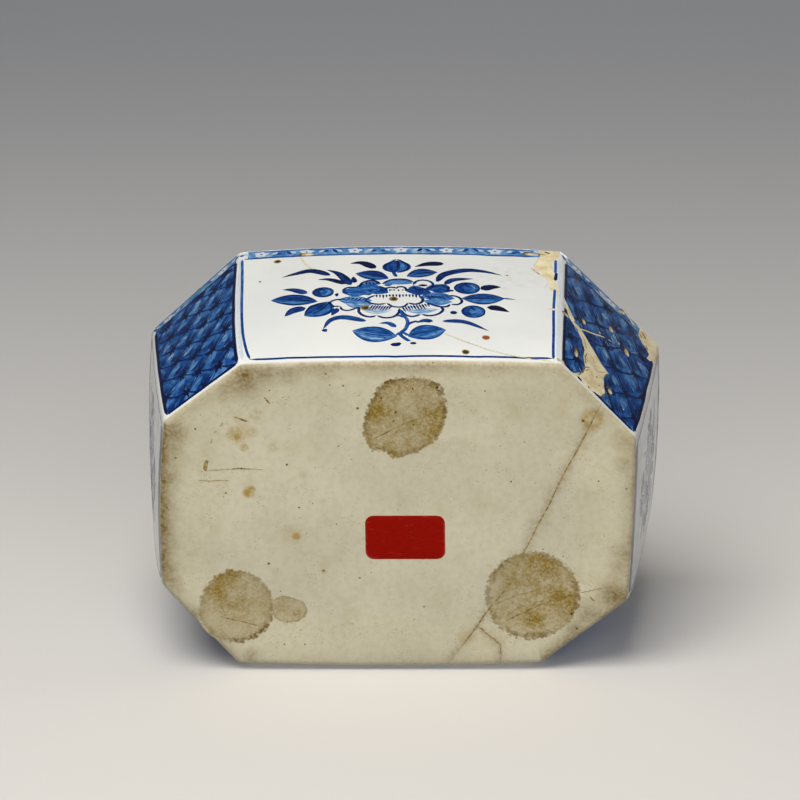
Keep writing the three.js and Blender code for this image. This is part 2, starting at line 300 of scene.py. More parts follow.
def copy_of(obj: Object, name: str) -> Object:
    """A copy of an object with a mesh of its own."""
    copy = obj.copy()
    copy.data = obj.data.copy()
    copy.name = copy.data.name = name
    bpy.context.collection.objects.link(copy)
    return copy


def remove(*objects: Object) -> None:
    """Takes helper objects out of the file."""
    for obj in objects:
        bpy.data.objects.remove(obj)


def loft(name: str, rings: Sequence[Array]) -> Object:
    """Raises a closed shape by extruding its top face from ring to ring.

    Args:
        name: the new object's name.
        rings: counter-clockwise rings of equal point count, in millimetres, bottom to top.

    Returns:
        The new object, its normals outward.
    """
    clear_selection()
    count = len(rings[0])
    bpy.ops.mesh.primitive_cylinder_add(vertices=count, depth=2, end_fill_type="NGON")
    obj = bpy.context.object
    obj.name = obj.data.name = name
    bpy.ops.object.mode_set(mode="EDIT")
    bpy.ops.mesh.select_mode(type="FACE")
    mesh = bmesh.from_edit_mesh(obj.data)
    place = mesh.verts.layers.int.new("place")
    top = max((f for f in mesh.faces if len(f.verts) == count), key=lambda f: f.calc_center_median().z)
    levels = [[v for v in mesh.verts if v.co.z * side > 0] for side in (-1, 1)]
    for level, ring in zip(levels, rings):
        level.sort(key=lambda v: math.atan2(v.co.y, v.co.x) % math.tau)
        for i, v in enumerate(level):
            v[place] = i
            v.co = Vector(ring[i]) * MM
    for face in mesh.faces:
        face.select_set(face == top)
    for ring in rings[2:]:
        bmesh.update_edit_mesh(obj.data)
        bpy.ops.mesh.extrude_region_move()
        mesh = bmesh.from_edit_mesh(obj.data)
        place = mesh.verts.layers.int["place"]
        mesh.faces.ensure_lookup_table()
        face = next(f for f in reversed(mesh.faces) if f.select)
        for v in face.verts:
            v.co = Vector(ring[v[place]]) * MM
    bpy.ops.mesh.select_all(action="SELECT")
    bpy.ops.mesh.normals_make_consistent(inside=False)
    if bmesh.from_edit_mesh(obj.data).calc_volume(signed=True) < 0:
        bpy.ops.mesh.flip_normals()
    bpy.ops.object.mode_set(mode="OBJECT")
    return obj


class Cut(Enum):
    """What a boolean modifier does with its tool."""

    AWAY = "DIFFERENCE"
    SHARED = "INTERSECT"


def carve(target: Object, tool: Object, way: Cut) -> None:
    """Cuts a piece with a tool shape, which is then taken away."""
    modifier = target.modifiers.new("carve", "BOOLEAN")
    modifier.operation = way.value
    modifier.object = tool
    modifier.solver = "MANIFOLD"
    activate(target)
    bpy.ops.object.modifier_apply(modifier=modifier.name)
    remove(tool)


def keep_largest(obj: Object) -> None:
    """Drops the crumbs that a cut left beside a piece."""
    activate(obj)
    name = obj.name
    bpy.ops.mesh.separate(type="LOOSE")
    bodies = sorted(bpy.context.selected_objects, key=lambda o: len(o.data.vertices))
    main = bodies.pop()
    remove(*bodies)
    main.name = main.data.name = name


def mesh_points(obj: Object) -> Array:
    """An object's vertices in millimetres."""
    co = np.zeros(len(obj.data.vertices) * 3)
    obj.data.vertices.foreach_get("co", co)
    return co.reshape(-1, 3) / MM


def set_attribute(obj: Object, name: str, values: Array, domain: str = "POINT") -> None:
    """Stores one number a vertex or face under a name that materials read."""
    attribute = obj.data.attributes.new(name, "FLOAT", domain)
    attribute.data.foreach_set("value", np.asarray(values, np.float32))


# The long break, as in the part: on the front right corner wall, up its arris to the rim,
# across the base and up the back wall
BREAK_FRONT = (
    (FRONT_RIGHT, 0.46, 0.0),
    (FRONT_RIGHT, 0.41, 0.13),
    (FRONT_RIGHT, 0.34, 0.25),
    (FRONT_RIGHT, 0.27, 0.34),
    (FRONT_RIGHT, 0.18, 0.41),
    (FRONT_RIGHT, 0.03, 0.55),
    (FRONT, 0.969, 0.7),
    (FRONT, 0.95, 1.0),
)
BREAK_BACK = (0.31, 0.28, 0.26, 0.25, 0.24, 0.21, 0.19, 0.17)
BREAK_BASE = ((0.85, -0.69), (0.666, -0.125), (0.526, 0.3), (0.469, 0.504), (0.396, 0.608), (0.342, 0.76))
FLOOR_SHARD_CORNER = (0.437, 0.885)
RIM_SHARD = (
    (-0.7, 0.36), (0.1, 0.36), (0.16, 0.4), (0.32, 0.475), (0.5, 0.535),
    (0.7, 0.6), (0.86, 0.76), (0.92, 0.9), (0.94, 1.2), (-0.7, 1.2),
)


def base_spot(share: Spot) -> Array:
    """A place under the base, given as shares of its half length and half width."""
    return np.array(share) * np.array(FORM.base_size) / 2


def plan_ring(points: Iterable[Array], z: float) -> Array:
    """Plan points at one height."""
    return np.array([(p[0], p[1], z) for p in points])


@dataclass
class Breaks:
    """The shapes that part the clay along its breaks."""

    kerf: float = 0.07
    reach: float = 8.0
    shard_top: float = 15.0
    shard_overrun: float = 2.0

    def front_of(self, wall: int, share: float, z: float, depth: float) -> Array:
        """Where the long break stands on its front side, at a depth in the wall."""
        out = FORM.edge(wall, np.array([z]))[2][0]
        return FORM.wall_point(wall, share, z)[0] - out * depth

    def right_side(self, shift: float) -> Object:
        """Everything to the right of the long break, moved sideways."""
        across = [base_spot(p) for p in BREAK_BASE]
        through = FORM.wall + FORM.fillet
        lines = []
        for (wall, share, rise), back_share in zip(BREAK_FRONT, BREAK_BACK):
            z = rise * FORM.height
            outer = self.front_of(wall, share, z, -self.reach)
            inner = across[0] if z < FORM.floor else self.front_of(wall, share, z, through)
            back = FORM.wall_point(BACK, back_share, z)[0]
            behind = back[1] + self.reach
            line = [
                outer, inner, *across[1:], back, (back[0], behind),
                (FORM.rim_size[0], behind), (FORM.rim_size[0], -FORM.rim_size[1]),
                (outer[0], -FORM.rim_size[1]),
            ]
            lines.append((z, [(p[0] + shift, p[1]) for p in reversed(line)]))
        low, high = lines[0][1], lines[-1][1]
        levels = [(-self.reach, low), (FORM.floor, low), *lines[1:], (FORM.height + self.reach, high)]
        return loft("right_side", [plan_ring(line, z) for z, line in levels])

    def floor_shard(self, gap: float) -> Object:
        """The room of the small floor piece between the two branches."""
        tip = base_spot(BREAK_BASE[-1])
        corner = base_spot(FLOOR_SHARD_CORNER)
        outside = FORM.rim_size[1]

        def level(z: float, shrink: float) -> Array:
            """The room's outline at one height, drawn in by a shrink on its right."""
            return plan_ring([
                (0, tip[1] - gap), (tip[0] + gap - shrink, tip[1] - gap),
                (corner[0] + gap - shrink, corner[1]), (corner[0] + gap - shrink, outside),
                (0, outside),
            ], z)

        narrowing = corner[0] - tip[0] + self.shard_overrun
        top = self.shard_top + gap
        rings = [level(-self.reach, 0), level(FORM.floor, 0), level(top, narrowing)]
        return loft("floor_shard_room", rings)


def grown(outline: Array, gap: float) -> Array:
    """A counter-clockwise outline grown by a gap, each corner along its mitre."""
    m = right_of(unit(np.roll(outline, -1, 0) - outline))
    n = np.roll(m, 1, 0)
    return outline + (n + m) * gap / (1 + (n * m).sum(-1, keepdims=True))


def plug(wall: int, outline: Sequence[Spot], gap: float = 0.0, depth: float = 8.5) -> Object:
    """A tool shape let into a wall.

    Args:
        wall: the wall it goes into.
        outline: its outline on the outside, as shares along the wall and of the height.
        gap: how much it is grown.
        depth: how far into the clay it reaches.

    Returns:
        The closed tool shape.
    """
    foot = np.array([0.0])
    run = float(FORM.width(wall, foot)[0])
    flat = grown(np.array(outline) * (run, FORM.height), gap)
    out = FORM.edge(wall, foot)[2][0]

    def face(offset: float) -> Array:
        """The outline at a distance off the wall."""
        plan = FORM.wall_point(wall, flat[:, 0] / run, flat[:, 1]) + out * offset
        return np.column_stack([plan, flat[:, 1]])

    return loft("plug", [face(-depth - gap), face(Breaks.reach)])


def arc(steps: int) -> list[tuple[float, float]]:
    """Sine and cosine of the angles that part a quarter turn, both ends included."""
    turns = np.linspace(0, math.pi / 2, steps + 1)
    return [(math.sin(turn), math.cos(turn)) for turn in turns]


@dataclass(frozen=True)
class Fill:
    """One of the restorer's fills: the wall, its outline in shares, and its depth in the clay."""

    node: str
    wall: int
    outline: Line
    depth: float


CORNER_FILL = Fill("corner_fill", FRONT_RIGHT, (
    (0.145, 0.012), (0.25, 0.035), (0.37, 0.02), (0.52, 0.052), (0.555, 0.1), (0.53, 0.155),
    (0.515, 0.21), (0.565, 0.275), (0.475, 0.298), (0.35, 0.362), (0.24, 0.418), (0.155, 0.452),
    (0.045, 0.548), (0.038, 0.54), (0.055, 0.493), (0.1, 0.427), (0.19, 0.387), (0.245, 0.347),
    (0.282, 0.272), (0.275, 0.215), (0.305, 0.152), (0.29, 0.095),
), 3.0)
FRONT_FILL = Fill("front_rim_fill", FRONT, (
    (0.966, 0.6), (0.978, 0.595), (0.986, 0.64), (0.98, 0.69), (0.983, 0.74), (0.974, 0.79),
    (0.971, 0.85), (0.976, 0.895), (0.99, 0.91), (0.994, 0.96), (0.99, 1.2), (0.928, 1.2), (0.93, 0.955),
    (0.936, 0.93), (0.925, 0.875), (0.917, 0.83), (0.921, 0.79), (0.932, 0.765), (0.94, 0.73),
    (0.955, 0.71), (0.962, 0.66),
), 8.5)
RIM_FILL = Fill("rim_corner_fill", FRONT_RIGHT, (
    (0.905, 0.735), (0.93, 0.74), (0.95, 0.755), (0.97, 0.78), (1.04, 0.8), (1.12, 1.2), (0.8, 1.2),
    (0.806, 0.965), (0.8, 0.895), (0.822, 0.872), (0.85, 0.845), (0.878, 0.842), (0.9, 0.82), (0.925, 0.805),
    (0.918, 0.77),
), 8.5)
FILLS = (CORNER_FILL, FRONT_FILL, RIM_FILL)


@dataclass
class Clay:
    """The fired clay, raised whole, then cut along its breaks into the pieces that were glued."""

    field_low: float = 1.6
    field_high: float = 54.6
    outer_step: float = 2.3
    inner_step: float = 4.0
    fill_gap: float = 0.04
    # Rings across the flat underside and the floor, as shares from the middle to their edge
    flat_shares: tuple[float, ...] = (
        0.04, 0.14, 0.24, 0.34, 0.44, 0.54, 0.64, 0.74, 0.84, 0.93,
    )

    def levels(self) -> list[tuple[float, float, float]]:
        """Height, inset and share of every ring, from the underside's middle to the floor's."""
        form = FORM
        band = form.foot + form.foot_band
        insets = band + form.hollow_run * np.array([1.0, 0.85, 0.7, 0.55, 0.4, 0.28, 0.18, 0.1, 0.0])
        levels = [(form.dish_depth, insets[0], share) for share in self.flat_shares]
        levels += [(float(form.hollow(inset)), inset, 1.0) for inset in insets]
        levels.append((0.0, (form.foot + band) / 2, 1.0))
        levels += [(form.foot * (1 - c), form.foot * (1 - s), 1.0) for s, c in arc(4)]
        count = round((self.field_high - self.field_low) / self.outer_step)
        levels += [(z, 0.0, 1.0) for z in np.linspace(self.field_low, self.field_high, count + 1)]
        levels.append(((self.field_high + form.height - form.lip) / 2, 0.0, 1.0))
        shoulder = form.height - form.lip
        levels += [(shoulder + form.lip * s, form.lip * (1 - c), 1.0) for s, c in arc(4)]
        levels += [(shoulder + form.lip * c, form.wall - form.lip * (1 - s), 1.0) for s, c in arc(4)]
        low = form.floor + form.fillet
        count = round((shoulder - low) / self.inner_step)
        levels += [(z, form.wall, 1.0) for z in np.linspace(shoulder, low, count + 1)[1:-1]]
        levels += [(low - form.fillet * s, form.wall + form.fillet * (1 - c), 1.0) for s, c in arc(5)]
        inner = form.wall + form.fillet
        levels += [(form.floor, inner, share) for share in reversed(self.flat_shares)]
        return levels

    def whole(self) -> Object:
        """The tub before it broke."""
        rings = [FORM.ring_at(z, inset) * (share, share, 1) for z, inset, share in self.levels()]
        return loft("whole_tub", rings)

    def pieces(self) -> dict[str, Object]:
        """The glued pieces and the fills, by the name of the part's node that each stands for."""
        breaks = Breaks()
        whole = self.whole()
        left = copy_of(whole, "clay_body")
        right = copy_of(whole, "clay_right_end")
        for piece, shift, way in ((left, -breaks.kerf / 2, Cut.AWAY), (right, breaks.kerf / 2, Cut.SHARED)):
            carve(piece, breaks.right_side(shift), way)
        rim = copy_of(right, "clay_corner_rim")
        floor = copy_of(right, "clay_floor_edge")
        steps = (
            (rim, plug(FRONT_RIGHT, RIM_SHARD), Cut.SHARED),
            (right, plug(FRONT_RIGHT, RIM_SHARD, breaks.kerf), Cut.AWAY),
            (floor, breaks.floor_shard(0), Cut.SHARED),
            (right, breaks.floor_shard(breaks.kerf), Cut.AWAY),
        )
        for piece, tool, way in steps:
            carve(piece, tool, way)
        made = {
            "tub_body": left,
            "right_end_shard": right,
            "corner_rim_shard": rim,
            "floor_edge_shard": floor,
        }
        for fill in FILLS:
            piece = copy_of(whole, "filler_" + fill.node)
            carve(piece, plug(fill.wall, fill.outline, 0.0, fill.depth), Cut.SHARED)
            keep_largest(piece)
            for clay in (left, right, rim):
                carve(clay, plug(fill.wall, fill.outline, self.fill_gap, fill.depth), Cut.AWAY)
            made[fill.node] = piece
        for clay in (left, right, rim, floor):
            keep_largest(clay)
        remove(whole)
        return made


class Palette:
    """One material's nodes, added and wired by small methods. Lengths in it are millimetres."""

    def __init__(self, name: str) -> None:
        """Starts a material with a bare principled shader."""
        self.material = bpy.data.materials.new(name)
        self.material.use_nodes = True
        self.tree = self.material.node_tree
        self.tree.nodes.clear()
        self.out = self.node("ShaderNodeOutputMaterial")
        self.shader = self.node("ShaderNodeBsdfPrincipled")
        self.tree.links.new(self.shader.outputs[0], self.out.inputs[0])
        coordinates = self.node("ShaderNodeTexCoord").outputs["Object"]
        scale = self.node("ShaderNodeVectorMath", {0: coordinates, "Scale": 1 / MM}, operation="SCALE")
        self.here = scale.outputs[0]
        self.z = self.node("ShaderNodeSeparateXYZ", {0: self.here}).outputs[2]

    def node(self, kind: str, sockets: dict | None = None, **settings: object) -> bpy.types.Node:
        """Adds a node, sets its options and feeds its sockets with values or other sockets."""
        node = self.tree.nodes.new(kind)
        for key, value in settings.items():
            setattr(node, key, value)
        for key, value in (sockets or {}).items():
            self.feed(node.inputs[key], value)
        return node

    def feed(self, socket: Socket, value: object) -> None:
        """Wires a socket to another one, or sets its value."""
        if isinstance(value, Socket):
            self.tree.links.new(value, socket)
        elif isinstance(value, tuple) and socket.type == "RGBA":
            socket.default_value = (*value, 1.0)
        else:
            socket.default_value = value

    def attribute(self, name: str) -> Socket:
        """A number that the mesh carries."""
        return self.node("ShaderNodeAttribute", attribute_name=name).outputs["Fac"]

    def math(self, operation: str, a: Share, b: Share = 0.0, clamp: bool = False) -> Socket:
        """One sum."""
        return self.node("ShaderNodeMath", {0: a, 1: b}, operation=operation, use_clamp=clamp).outputs[0]

    def times(self, a: Share, b: Share) -> Socket:
        """A product."""
        return self.math("MULTIPLY", a, b)

    def plus(self, a: Share, b: Share) -> Socket:
        """A sum held between 0 and 1."""
        return self.math("ADD", a, b, clamp=True)

    def held(self, a: Share) -> Socket:
        """A value held between 0 and 1."""
        return self.plus(a, 0.0)

    def span(self, value: Socket, low: float, high: float, start: float = 0.0, end: float = 1.0) -> Socket:
        """Maps low to start and high to end, smoothly, and holds what lies outside."""
        sockets = {"Value": value, "From Min": low, "From Max": high, "To Min": start, "To Max": end}
        return self.node("ShaderNodeMapRange", sockets, interpolation_type="SMOOTHSTEP").outputs[0]

    def noise(self, size: float, detail: float, where: Socket | None = None, twist: float = 0.0) -> Socket:
        """Cloudy noise whose patches are about size millimetres."""
        where = where or self.here
        sockets = {"Vector": where, "Scale": 1 / size, "Detail": detail, "Distortion": twist}
        return self.node("ShaderNodeTexNoise", sockets).outputs["Fac"]

    def clouds(self, size: float, detail: float, low: float, high: float, start: float = 0.0,
               end: float = 1.0, twist: float = 0.0) -> Socket:
        """Noise of a size and detail, mapped as span does."""
        return self.span(self.noise(size, detail, twist=twist), low, high, start, end)

    def stretched(self, by: Place, turn: float = 0.0) -> Socket:
        """The place in millimetres, scaled along each axis after a turn about Z in degrees."""
        sockets = {"Vector": self.here, "Scale": by, "Rotation": (0.0, 0.0, math.radians(turn))}
        return self.node("ShaderNodeMapping", sockets).outputs[0]

    def specks(self, spacing: float, low: float, high: float) -> Socket:
        """Round specks, one in each cell, each of its own size between low and high shares."""
        cells = self.node("ShaderNodeTexVoronoi", {"Vector": self.here, "Scale": 1 / spacing})
        own = self.node("ShaderNodeSeparateColor", {0: cells.outputs["Color"]}).outputs[0]
        size = self.node("ShaderNodeMapRange", {0: own, 1: 0.0, 2: 1.0, 3: low, 4: high}).outputs[0]
        gap = self.math("SUBTRACT", size, cells.outputs["Distance"])
        return self.span(gap, 0.0, 0.06)

    def spot(self, at: Place, radius: float, soft: float = 0.5) -> Socket:
        """A round spot on the surface, 1 inside and 0 outside."""
        distance = self.node("ShaderNodeVectorMath", {0: self.here, 1: at}, operation="DISTANCE")
        return self.span(distance.outputs["Value"], radius * (1 - soft), radius, 1.0, 0.0)

    def mix(self, share: Share, a: Socket | Rgb, b: Socket | Rgb) -> Socket:
        """One colour turning into another."""
        node = self.node("ShaderNodeMix", data_type="RGBA")
        self.feed(node.inputs[0], share)
        self.feed(node.inputs[6], a)
        self.feed(node.inputs[7], b)
        return node.outputs[2]

    def tint(self, colour: Socket | Rgb, other: Rgb, share: Share, *factors: Share) -> Socket:
        """A colour that turns into another by the product of some shares."""
        for factor in factors:
            share = self.times(share, factor)
        return self.mix(share, colour, other)

    def ramp(self, value: Socket, stops: Sequence[tuple[float, Rgb]]) -> Socket:
        """A colour read off a row of stops."""
        node = self.node("ShaderNodeValToRGB", {0: value})
        elements = node.color_ramp.elements
        while len(elements) < len(stops):
            elements.new(0.5)
        for element, (place, colour) in zip(elements, stops):
            element.position = place
            element.color = (*colour, 1.0)
        return node.outputs[0]

    def relief(self, height: Socket, depth: float) -> None:
        """Gives the surface a fine relief of a depth in millimetres."""
        sockets = {"Height": height, "Distance": depth * MM, "Strength": 1.0}
        bump = self.node("ShaderNodeBump", sockets)
        self.feed(self.shader.inputs["Normal"], bump.outputs[0])

    def finish(self, colour: Socket | Rgb, roughness: Share, **constants: float) -> Material:
        """Wires colour and roughness and sets the shader's plain numbers."""
        self.feed(self.shader.inputs["Base Color"], colour)
        self.feed(self.shader.inputs["Roughness"], roughness)
        for name, value in constants.items():
            socket = name.replace("_", " ").title().replace("Ior", "IOR")
            self.shader.inputs[socket].default_value = value
        return self.material


@dataclass(frozen=True)
class Ware:
    """The tin-glazed ground: a white wall and a creamier, grubby underside."""

    white: Rgb = (0.79, 0.787, 0.737)
    white_cool: Rgb = (0.74, 0.742, 0.708)
    cream: Rgb = (0.68, 0.62, 0.435)
    cream_dull: Rgb = (0.61, 0.56, 0.392)
    grime: Rgb = (0.185, 0.108, 0.01)
    speck: Rgb = (0.10, 0.065, 0.03)
    ochre: Rgb = (0.37, 0.225, 0.004)
    body: Rgb = (0.56, 0.43, 0.26)
    # Heights between which the underside's dirty glaze turns into the wall's clean one
    turn: Spot = (0.3, 0.95)
    # Heights between which the lip starts to be worn to the clay
    worn_lip: Spot = (58.9, 59.5)
    # A faintly yellow part of the front wall, and the pale middle of a ringed stain under the
    # base: place, radius and softness
    blush: tuple[Place, float, float] = ((25.0, -45.0, 40.0), 16.0, 0.9)
    ring_middle: tuple[Place, float, float] = ((48.8, -26.1, 0.4), 2.3, 0.7)

    def wall(self, p: Palette) -> Socket:
        """The white glaze with its clouds, specks and worn lip."""
        colour = p.mix(p.clouds(22.0, 4.0, 0.35, 0.65), self.white, self.white_cool)
        colour = p.tint(colour, self.speck, p.specks(5.0, -0.3, 0.07), 0.4)
        colour = p.tint(colour, self.ochre, p.spot(*self.blush), p.clouds(2.6, 5.0, 0.48, 0.64), 0.16)
        worn = p.clouds(3.4, 6.0, 0.57, 0.61, twist=0.5)
        return p.tint(colour, self.body, p.span(p.z, *self.worn_lip), worn, 0.85)

    def underside(self, p: Palette) -> Socket:
        """The creamy glaze with its grime, stains, dust, specks and stained breaks."""
        colour = p.mix(p.clouds(26.0, 2.0, 0.36, 0.64), self.cream, self.cream_dull)
        colour = p.tint(colour, self.grime, p.clouds(1.6, 5.0, 0.35, 0.75), 0.12)
        patchy = p.times(p.clouds(9.0, 3.0, 0.3, 0.65, 0.65, 1.1), p.clouds(0.9, 5.0, 0.3, 0.7, 0.7, 1.15))
        colour = p.mix(p.held(p.times(p.attribute("grime"), patchy)), colour, self.grime)
        colour = p.tint(colour, self.ochre, p.clouds(7.5, 4.0, 0.52, 0.72, twist=0.3), 0.16)
        for x, y, radius, share in OCHRE_SPOTS:
            spot = p.spot((x, y, FORM.dish_depth), radius, 0.7)
            colour = p.tint(colour, self.ochre, spot, p.clouds(0.9, 4.0, 0.3, 0.55, 0.3, 1.15), share)
        dust = p.clouds(0.5, 4.0, 0.6, 0.68)
        colour = p.tint(colour, self.grime, dust, p.clouds(5.0, 3.0, 0.44, 0.62), 0.5)
        colour = p.tint(colour, self.cream, p.spot(*self.ring_middle), 0.7)
        colour = p.tint(colour, self.speck, p.specks(3.2, -0.22, 0.13), 0.75)
        colour = p.tint(colour, self.speck, p.specks(1.3, -0.3, 0.12), 0.45)
        stain = p.clouds(1.1, 4.0, 0.3, 0.7, 0.35, 1.0)
        return p.tint(colour, self.grime, p.attribute("crack"), stain)

    def ground(self, p: Palette) -> Socket:
        """The glaze's own colour at each place, without any painting."""
        return p.mix(p.span(p.z, *self.turn), self.underside(p), self.wall(p))

    def glazed(self, p: Palette, colour: Socket) -> Material:
        """Finishes a material with shiny walls, a duller underside, orange peel and pits."""
        height = p.span(p.z, *self.turn)
        wall = p.times(p.clouds(6.0, 3.0, 0.3, 0.7, 0.13, 0.24), height)
        under = p.times(p.clouds(4.0, 4.0, 0.3, 0.7, 0.34, 0.55), p.math("SUBTRACT", 1.0, height))
        waves, peel = p.times(p.noise(7.0, 2.0), 0.8), p.times(p.noise(0.9, 2.0), 0.1)
        pits = p.times(p.specks(2.6, -0.25, 0.08), -0.3)
        p.relief(p.math("ADD", p.math("ADD", waves, peel), pits), 0.08)
        return p.finish(colour, p.plus(wall, under))


WARE = Ware()

# Small ochre stains under the base: x, y, radius and strength
OCHRE_SPOTS = (
    (-39.6, -22.0, 3.4, 0.5), (-39.5, -21.4, 1.1, 0.7), (-37.8, -18.6, 1.6, 0.5),
    (-37.1, -6.3, 2.0, 0.9), (-36.2, -7.2, 1.3, 0.8), (-25.4, 5.8, 1.5, 0.8),
    (-26.5, 5.2, 4.0, 0.25), (-34.5, -27.4, 2.4, 0.3), (-35.8, -22.7, 2.2, 0.35),
    (-30.5, -18.6, 1.8, 0.3), (-23.4, -11.0, 1.6, 0.25), (48.7, -26.1, 4.1, 0.75),
    (17.0, 34.0, 3.0, 0.25), (-18.7, 15.3, 1.0, 0.5),
)

# The blue by how much of it the brush leaves: none, a wash, the full colour, nearly black
COBALT = (
    (0.0, WARE.white),
    (0.1, (0.49, 0.575, 0.65)),
    (0.28, (0.10, 0.26, 0.49)),
    (0.48, (0.017, 0.105, 0.335)),
    (0.66, (0.004, 0.043, 0.20)),
    (0.82, (0.002, 0.013, 0.092)),
    (1.0, (0.002, 0.004, 0.025)),
)


@dataclass(frozen=True)
class GlazeFinish:
    """The clay pieces: white ground, and the blue grounds of the painted fields."""

    # How far up and down the blue turns from the corner walls' to the rim band's
    band_turn: float = 0.05

    def material(self) -> Material:
        """Builds the material."""
        p = Palette("tin_glaze")
        brush = p.noise(2.4, 5.0, p.stretched((1.0, 1.0, 0.45)), 0.8)
        pools = p.noise(5.5, 3.0)
        band = p.span(p.z, Clay.field_high - self.band_turn, Clay.field_high + self.band_turn)
        field_load = p.plus(p.span(brush, 0.34, 0.68, 0.37, 0.64), p.span(pools, 0.35, 0.7, -0.05, 0.1))
        band_load = p.plus(p.span(brush, 0.3, 0.72, 0.2, 0.42), p.span(pools, 0.35, 0.7, -0.06, 0.1))
        field = p.times(p.math("SUBTRACT", 1.0, band), field_load)
        blue = p.ramp(p.math("ADD", p.times(band, band_load), field), COBALT)
        return WARE.glazed(p, p.mix(p.attribute("wash"), WARE.ground(p), blue))


@dataclass(frozen=True)
class FillerFinish:
    """Matt beige filler, sanded by hand."""

    light: Rgb = (0.83, 0.725, 0.475)
    dark: Rgb = (0.64, 0.52, 0.285)
    pit: Rgb = (0.16, 0.10, 0.05)

    def material(self) -> Material:
        """Builds the material."""
        p = Palette("restorers_filler")
        colour = p.mix(p.clouds(3.2, 5.0, 0.35, 0.68), self.light, self.dark)
        colour = p.tint(colour, self.pit, p.specks(1.1, -0.3, 0.16), 0.8)
        p.relief(p.math("ADD", p.noise(0.7, 5.0), p.noise(2.4, 2.0)), 0.18)
        return p.finish(colour, p.clouds(2.0, 3.0, 0.3, 0.7, 0.55, 0.8))


@dataclass(frozen=True)
class PaintFinish:
    """Cobalt brushwork under the glaze, from a pale wash to nearly black."""

    # How finely the bristles' streaks part across the stroke, and how little along it
    streaks_across: float = 2.6
    streaks_along: float = 0.35
    streak_drift: float = 0.02
    # How much more paint pools along a stroke's edges
    pooling: float = 0.08

    def material(self) -> Material:
        """Builds the material."""
        p = Palette("cobalt_paint")
        along, aside, load = (p.attribute(name) for name in ("along", "aside", "load"))
        where = p.node("ShaderNodeCombineXYZ", {
            0: p.times(along, self.streaks_along),
            1: p.times(aside, self.streaks_across),
            2: p.times(along, self.streak_drift),
        }).outputs[0]
        streak = p.node("ShaderNodeTexNoise", {"Vector": where, "Scale": 1.0, "Detail": 3.0}).outputs["Fac"]
        uneven = p.span(streak, 0.3, 0.7, -0.13, 0.13)
        pooled = p.times(p.math("POWER", p.math("ABSOLUTE", aside), 4.0), self.pooling)
        cloud = p.clouds(1.3, 3.0, 0.3, 0.7, -0.05, 0.05)
        change = p.math("ADD", p.math("ADD", uneven, pooled), cloud)
        change = p.times(change, p.span(load, 0.02, 0.2))
        return WARE.glazed(p, p.ramp(p.plus(load, change), COBALT))


@dataclass(frozen=True)
class ResidueFinish:
    """Dried brown adhesive and felt dust on the glaze, as dense as the mesh's attributes say."""

    brown: Rgb = (0.27, 0.172, 0.016)
    ring: Rgb = (0.15, 0.088, 0.006)
    # Shares of the way to the outline between which the mark ends, and its rim begins and ends
    edge: Spot = (0.90, 0.985)
    rim_start: Spot = (0.79, 0.89)
    rim_end: Spot = (0.945, 0.985)

    def material(self) -> Material:
        """Builds the material."""
        p = Palette("dried_adhesive")
        ragged = p.clouds(1.0, 6.0, 0.25, 0.75, -0.055, 0.045, twist=0.4)
        reach = p.math("ADD", p.attribute("reach"), ragged)
        inside = p.span(reach, *self.edge, 1.0, 0.0)
        cover = p.times(p.attribute("cover"), p.clouds(3.4, 3.0, 0.3, 0.7, 0.78, 1.14))
        cover = p.times(cover, p.clouds(0.7, 6.0, 0.3, 0.68, 0.68, 1.3, twist=0.7))
        colour = p.tint(WARE.ground(p), self.brown, p.held(cover), inside)
        colour = p.tint(colour, self.ring, p.specks(0.9, -0.25, 0.15), 0.55, inside)
        rim = p.times(p.span(reach, *self.rim_start), p.span(reach, *self.rim_end, 1.0, 0.0))
        rim = p.times(rim, p.clouds(1.3, 5.0, 0.35, 0.57, 0.1, 1.0, twist=0.5))
        return WARE.glazed(p, p.mix(p.held(p.times(rim, p.attribute("rim"))), colour, self.ring))


@dataclass(frozen=True)
class PaperFinish:
    """Red label paper: fine fibres, a slightly rubbed edge and a few scuffs."""

    red: Rgb = (0.325, 0.005, 0.0008)
    deep: Rgb = (0.26, 0.004, 0.0008)
    rubbed: Rgb = (0.40, 0.06, 0.035)

    def material(self) -> Material:
        """Builds the material."""
        p = Palette("red_paper")
        fibres = p.noise(0.5, 6.0, p.stretched((0.5, 1.6, 1.0), 20.0), 0.8)
        colour = p.mix(p.span(fibres, 0.3, 0.7), self.red, self.deep)
        scuffs = p.noise(1.2, 4.0, p.stretched((0.25, 1.5, 1.0), -15.0))
        colour = p.tint(colour, self.rubbed, p.span(scuffs, 0.62, 0.72), 0.35)
        edge = p.span(p.attribute("reach"), 0.93, 1.0)
        colour = p.tint(colour, self.rubbed, edge, p.clouds(0.8, 4.0, 0.4, 0.62), 0.6)
        p.relief(p.noise(0.35, 5.0), 0.02)
        return p.finish(colour, p.span(fibres, 0.3, 0.7, 0.62, 0.78), specular_ior_level=0.06)


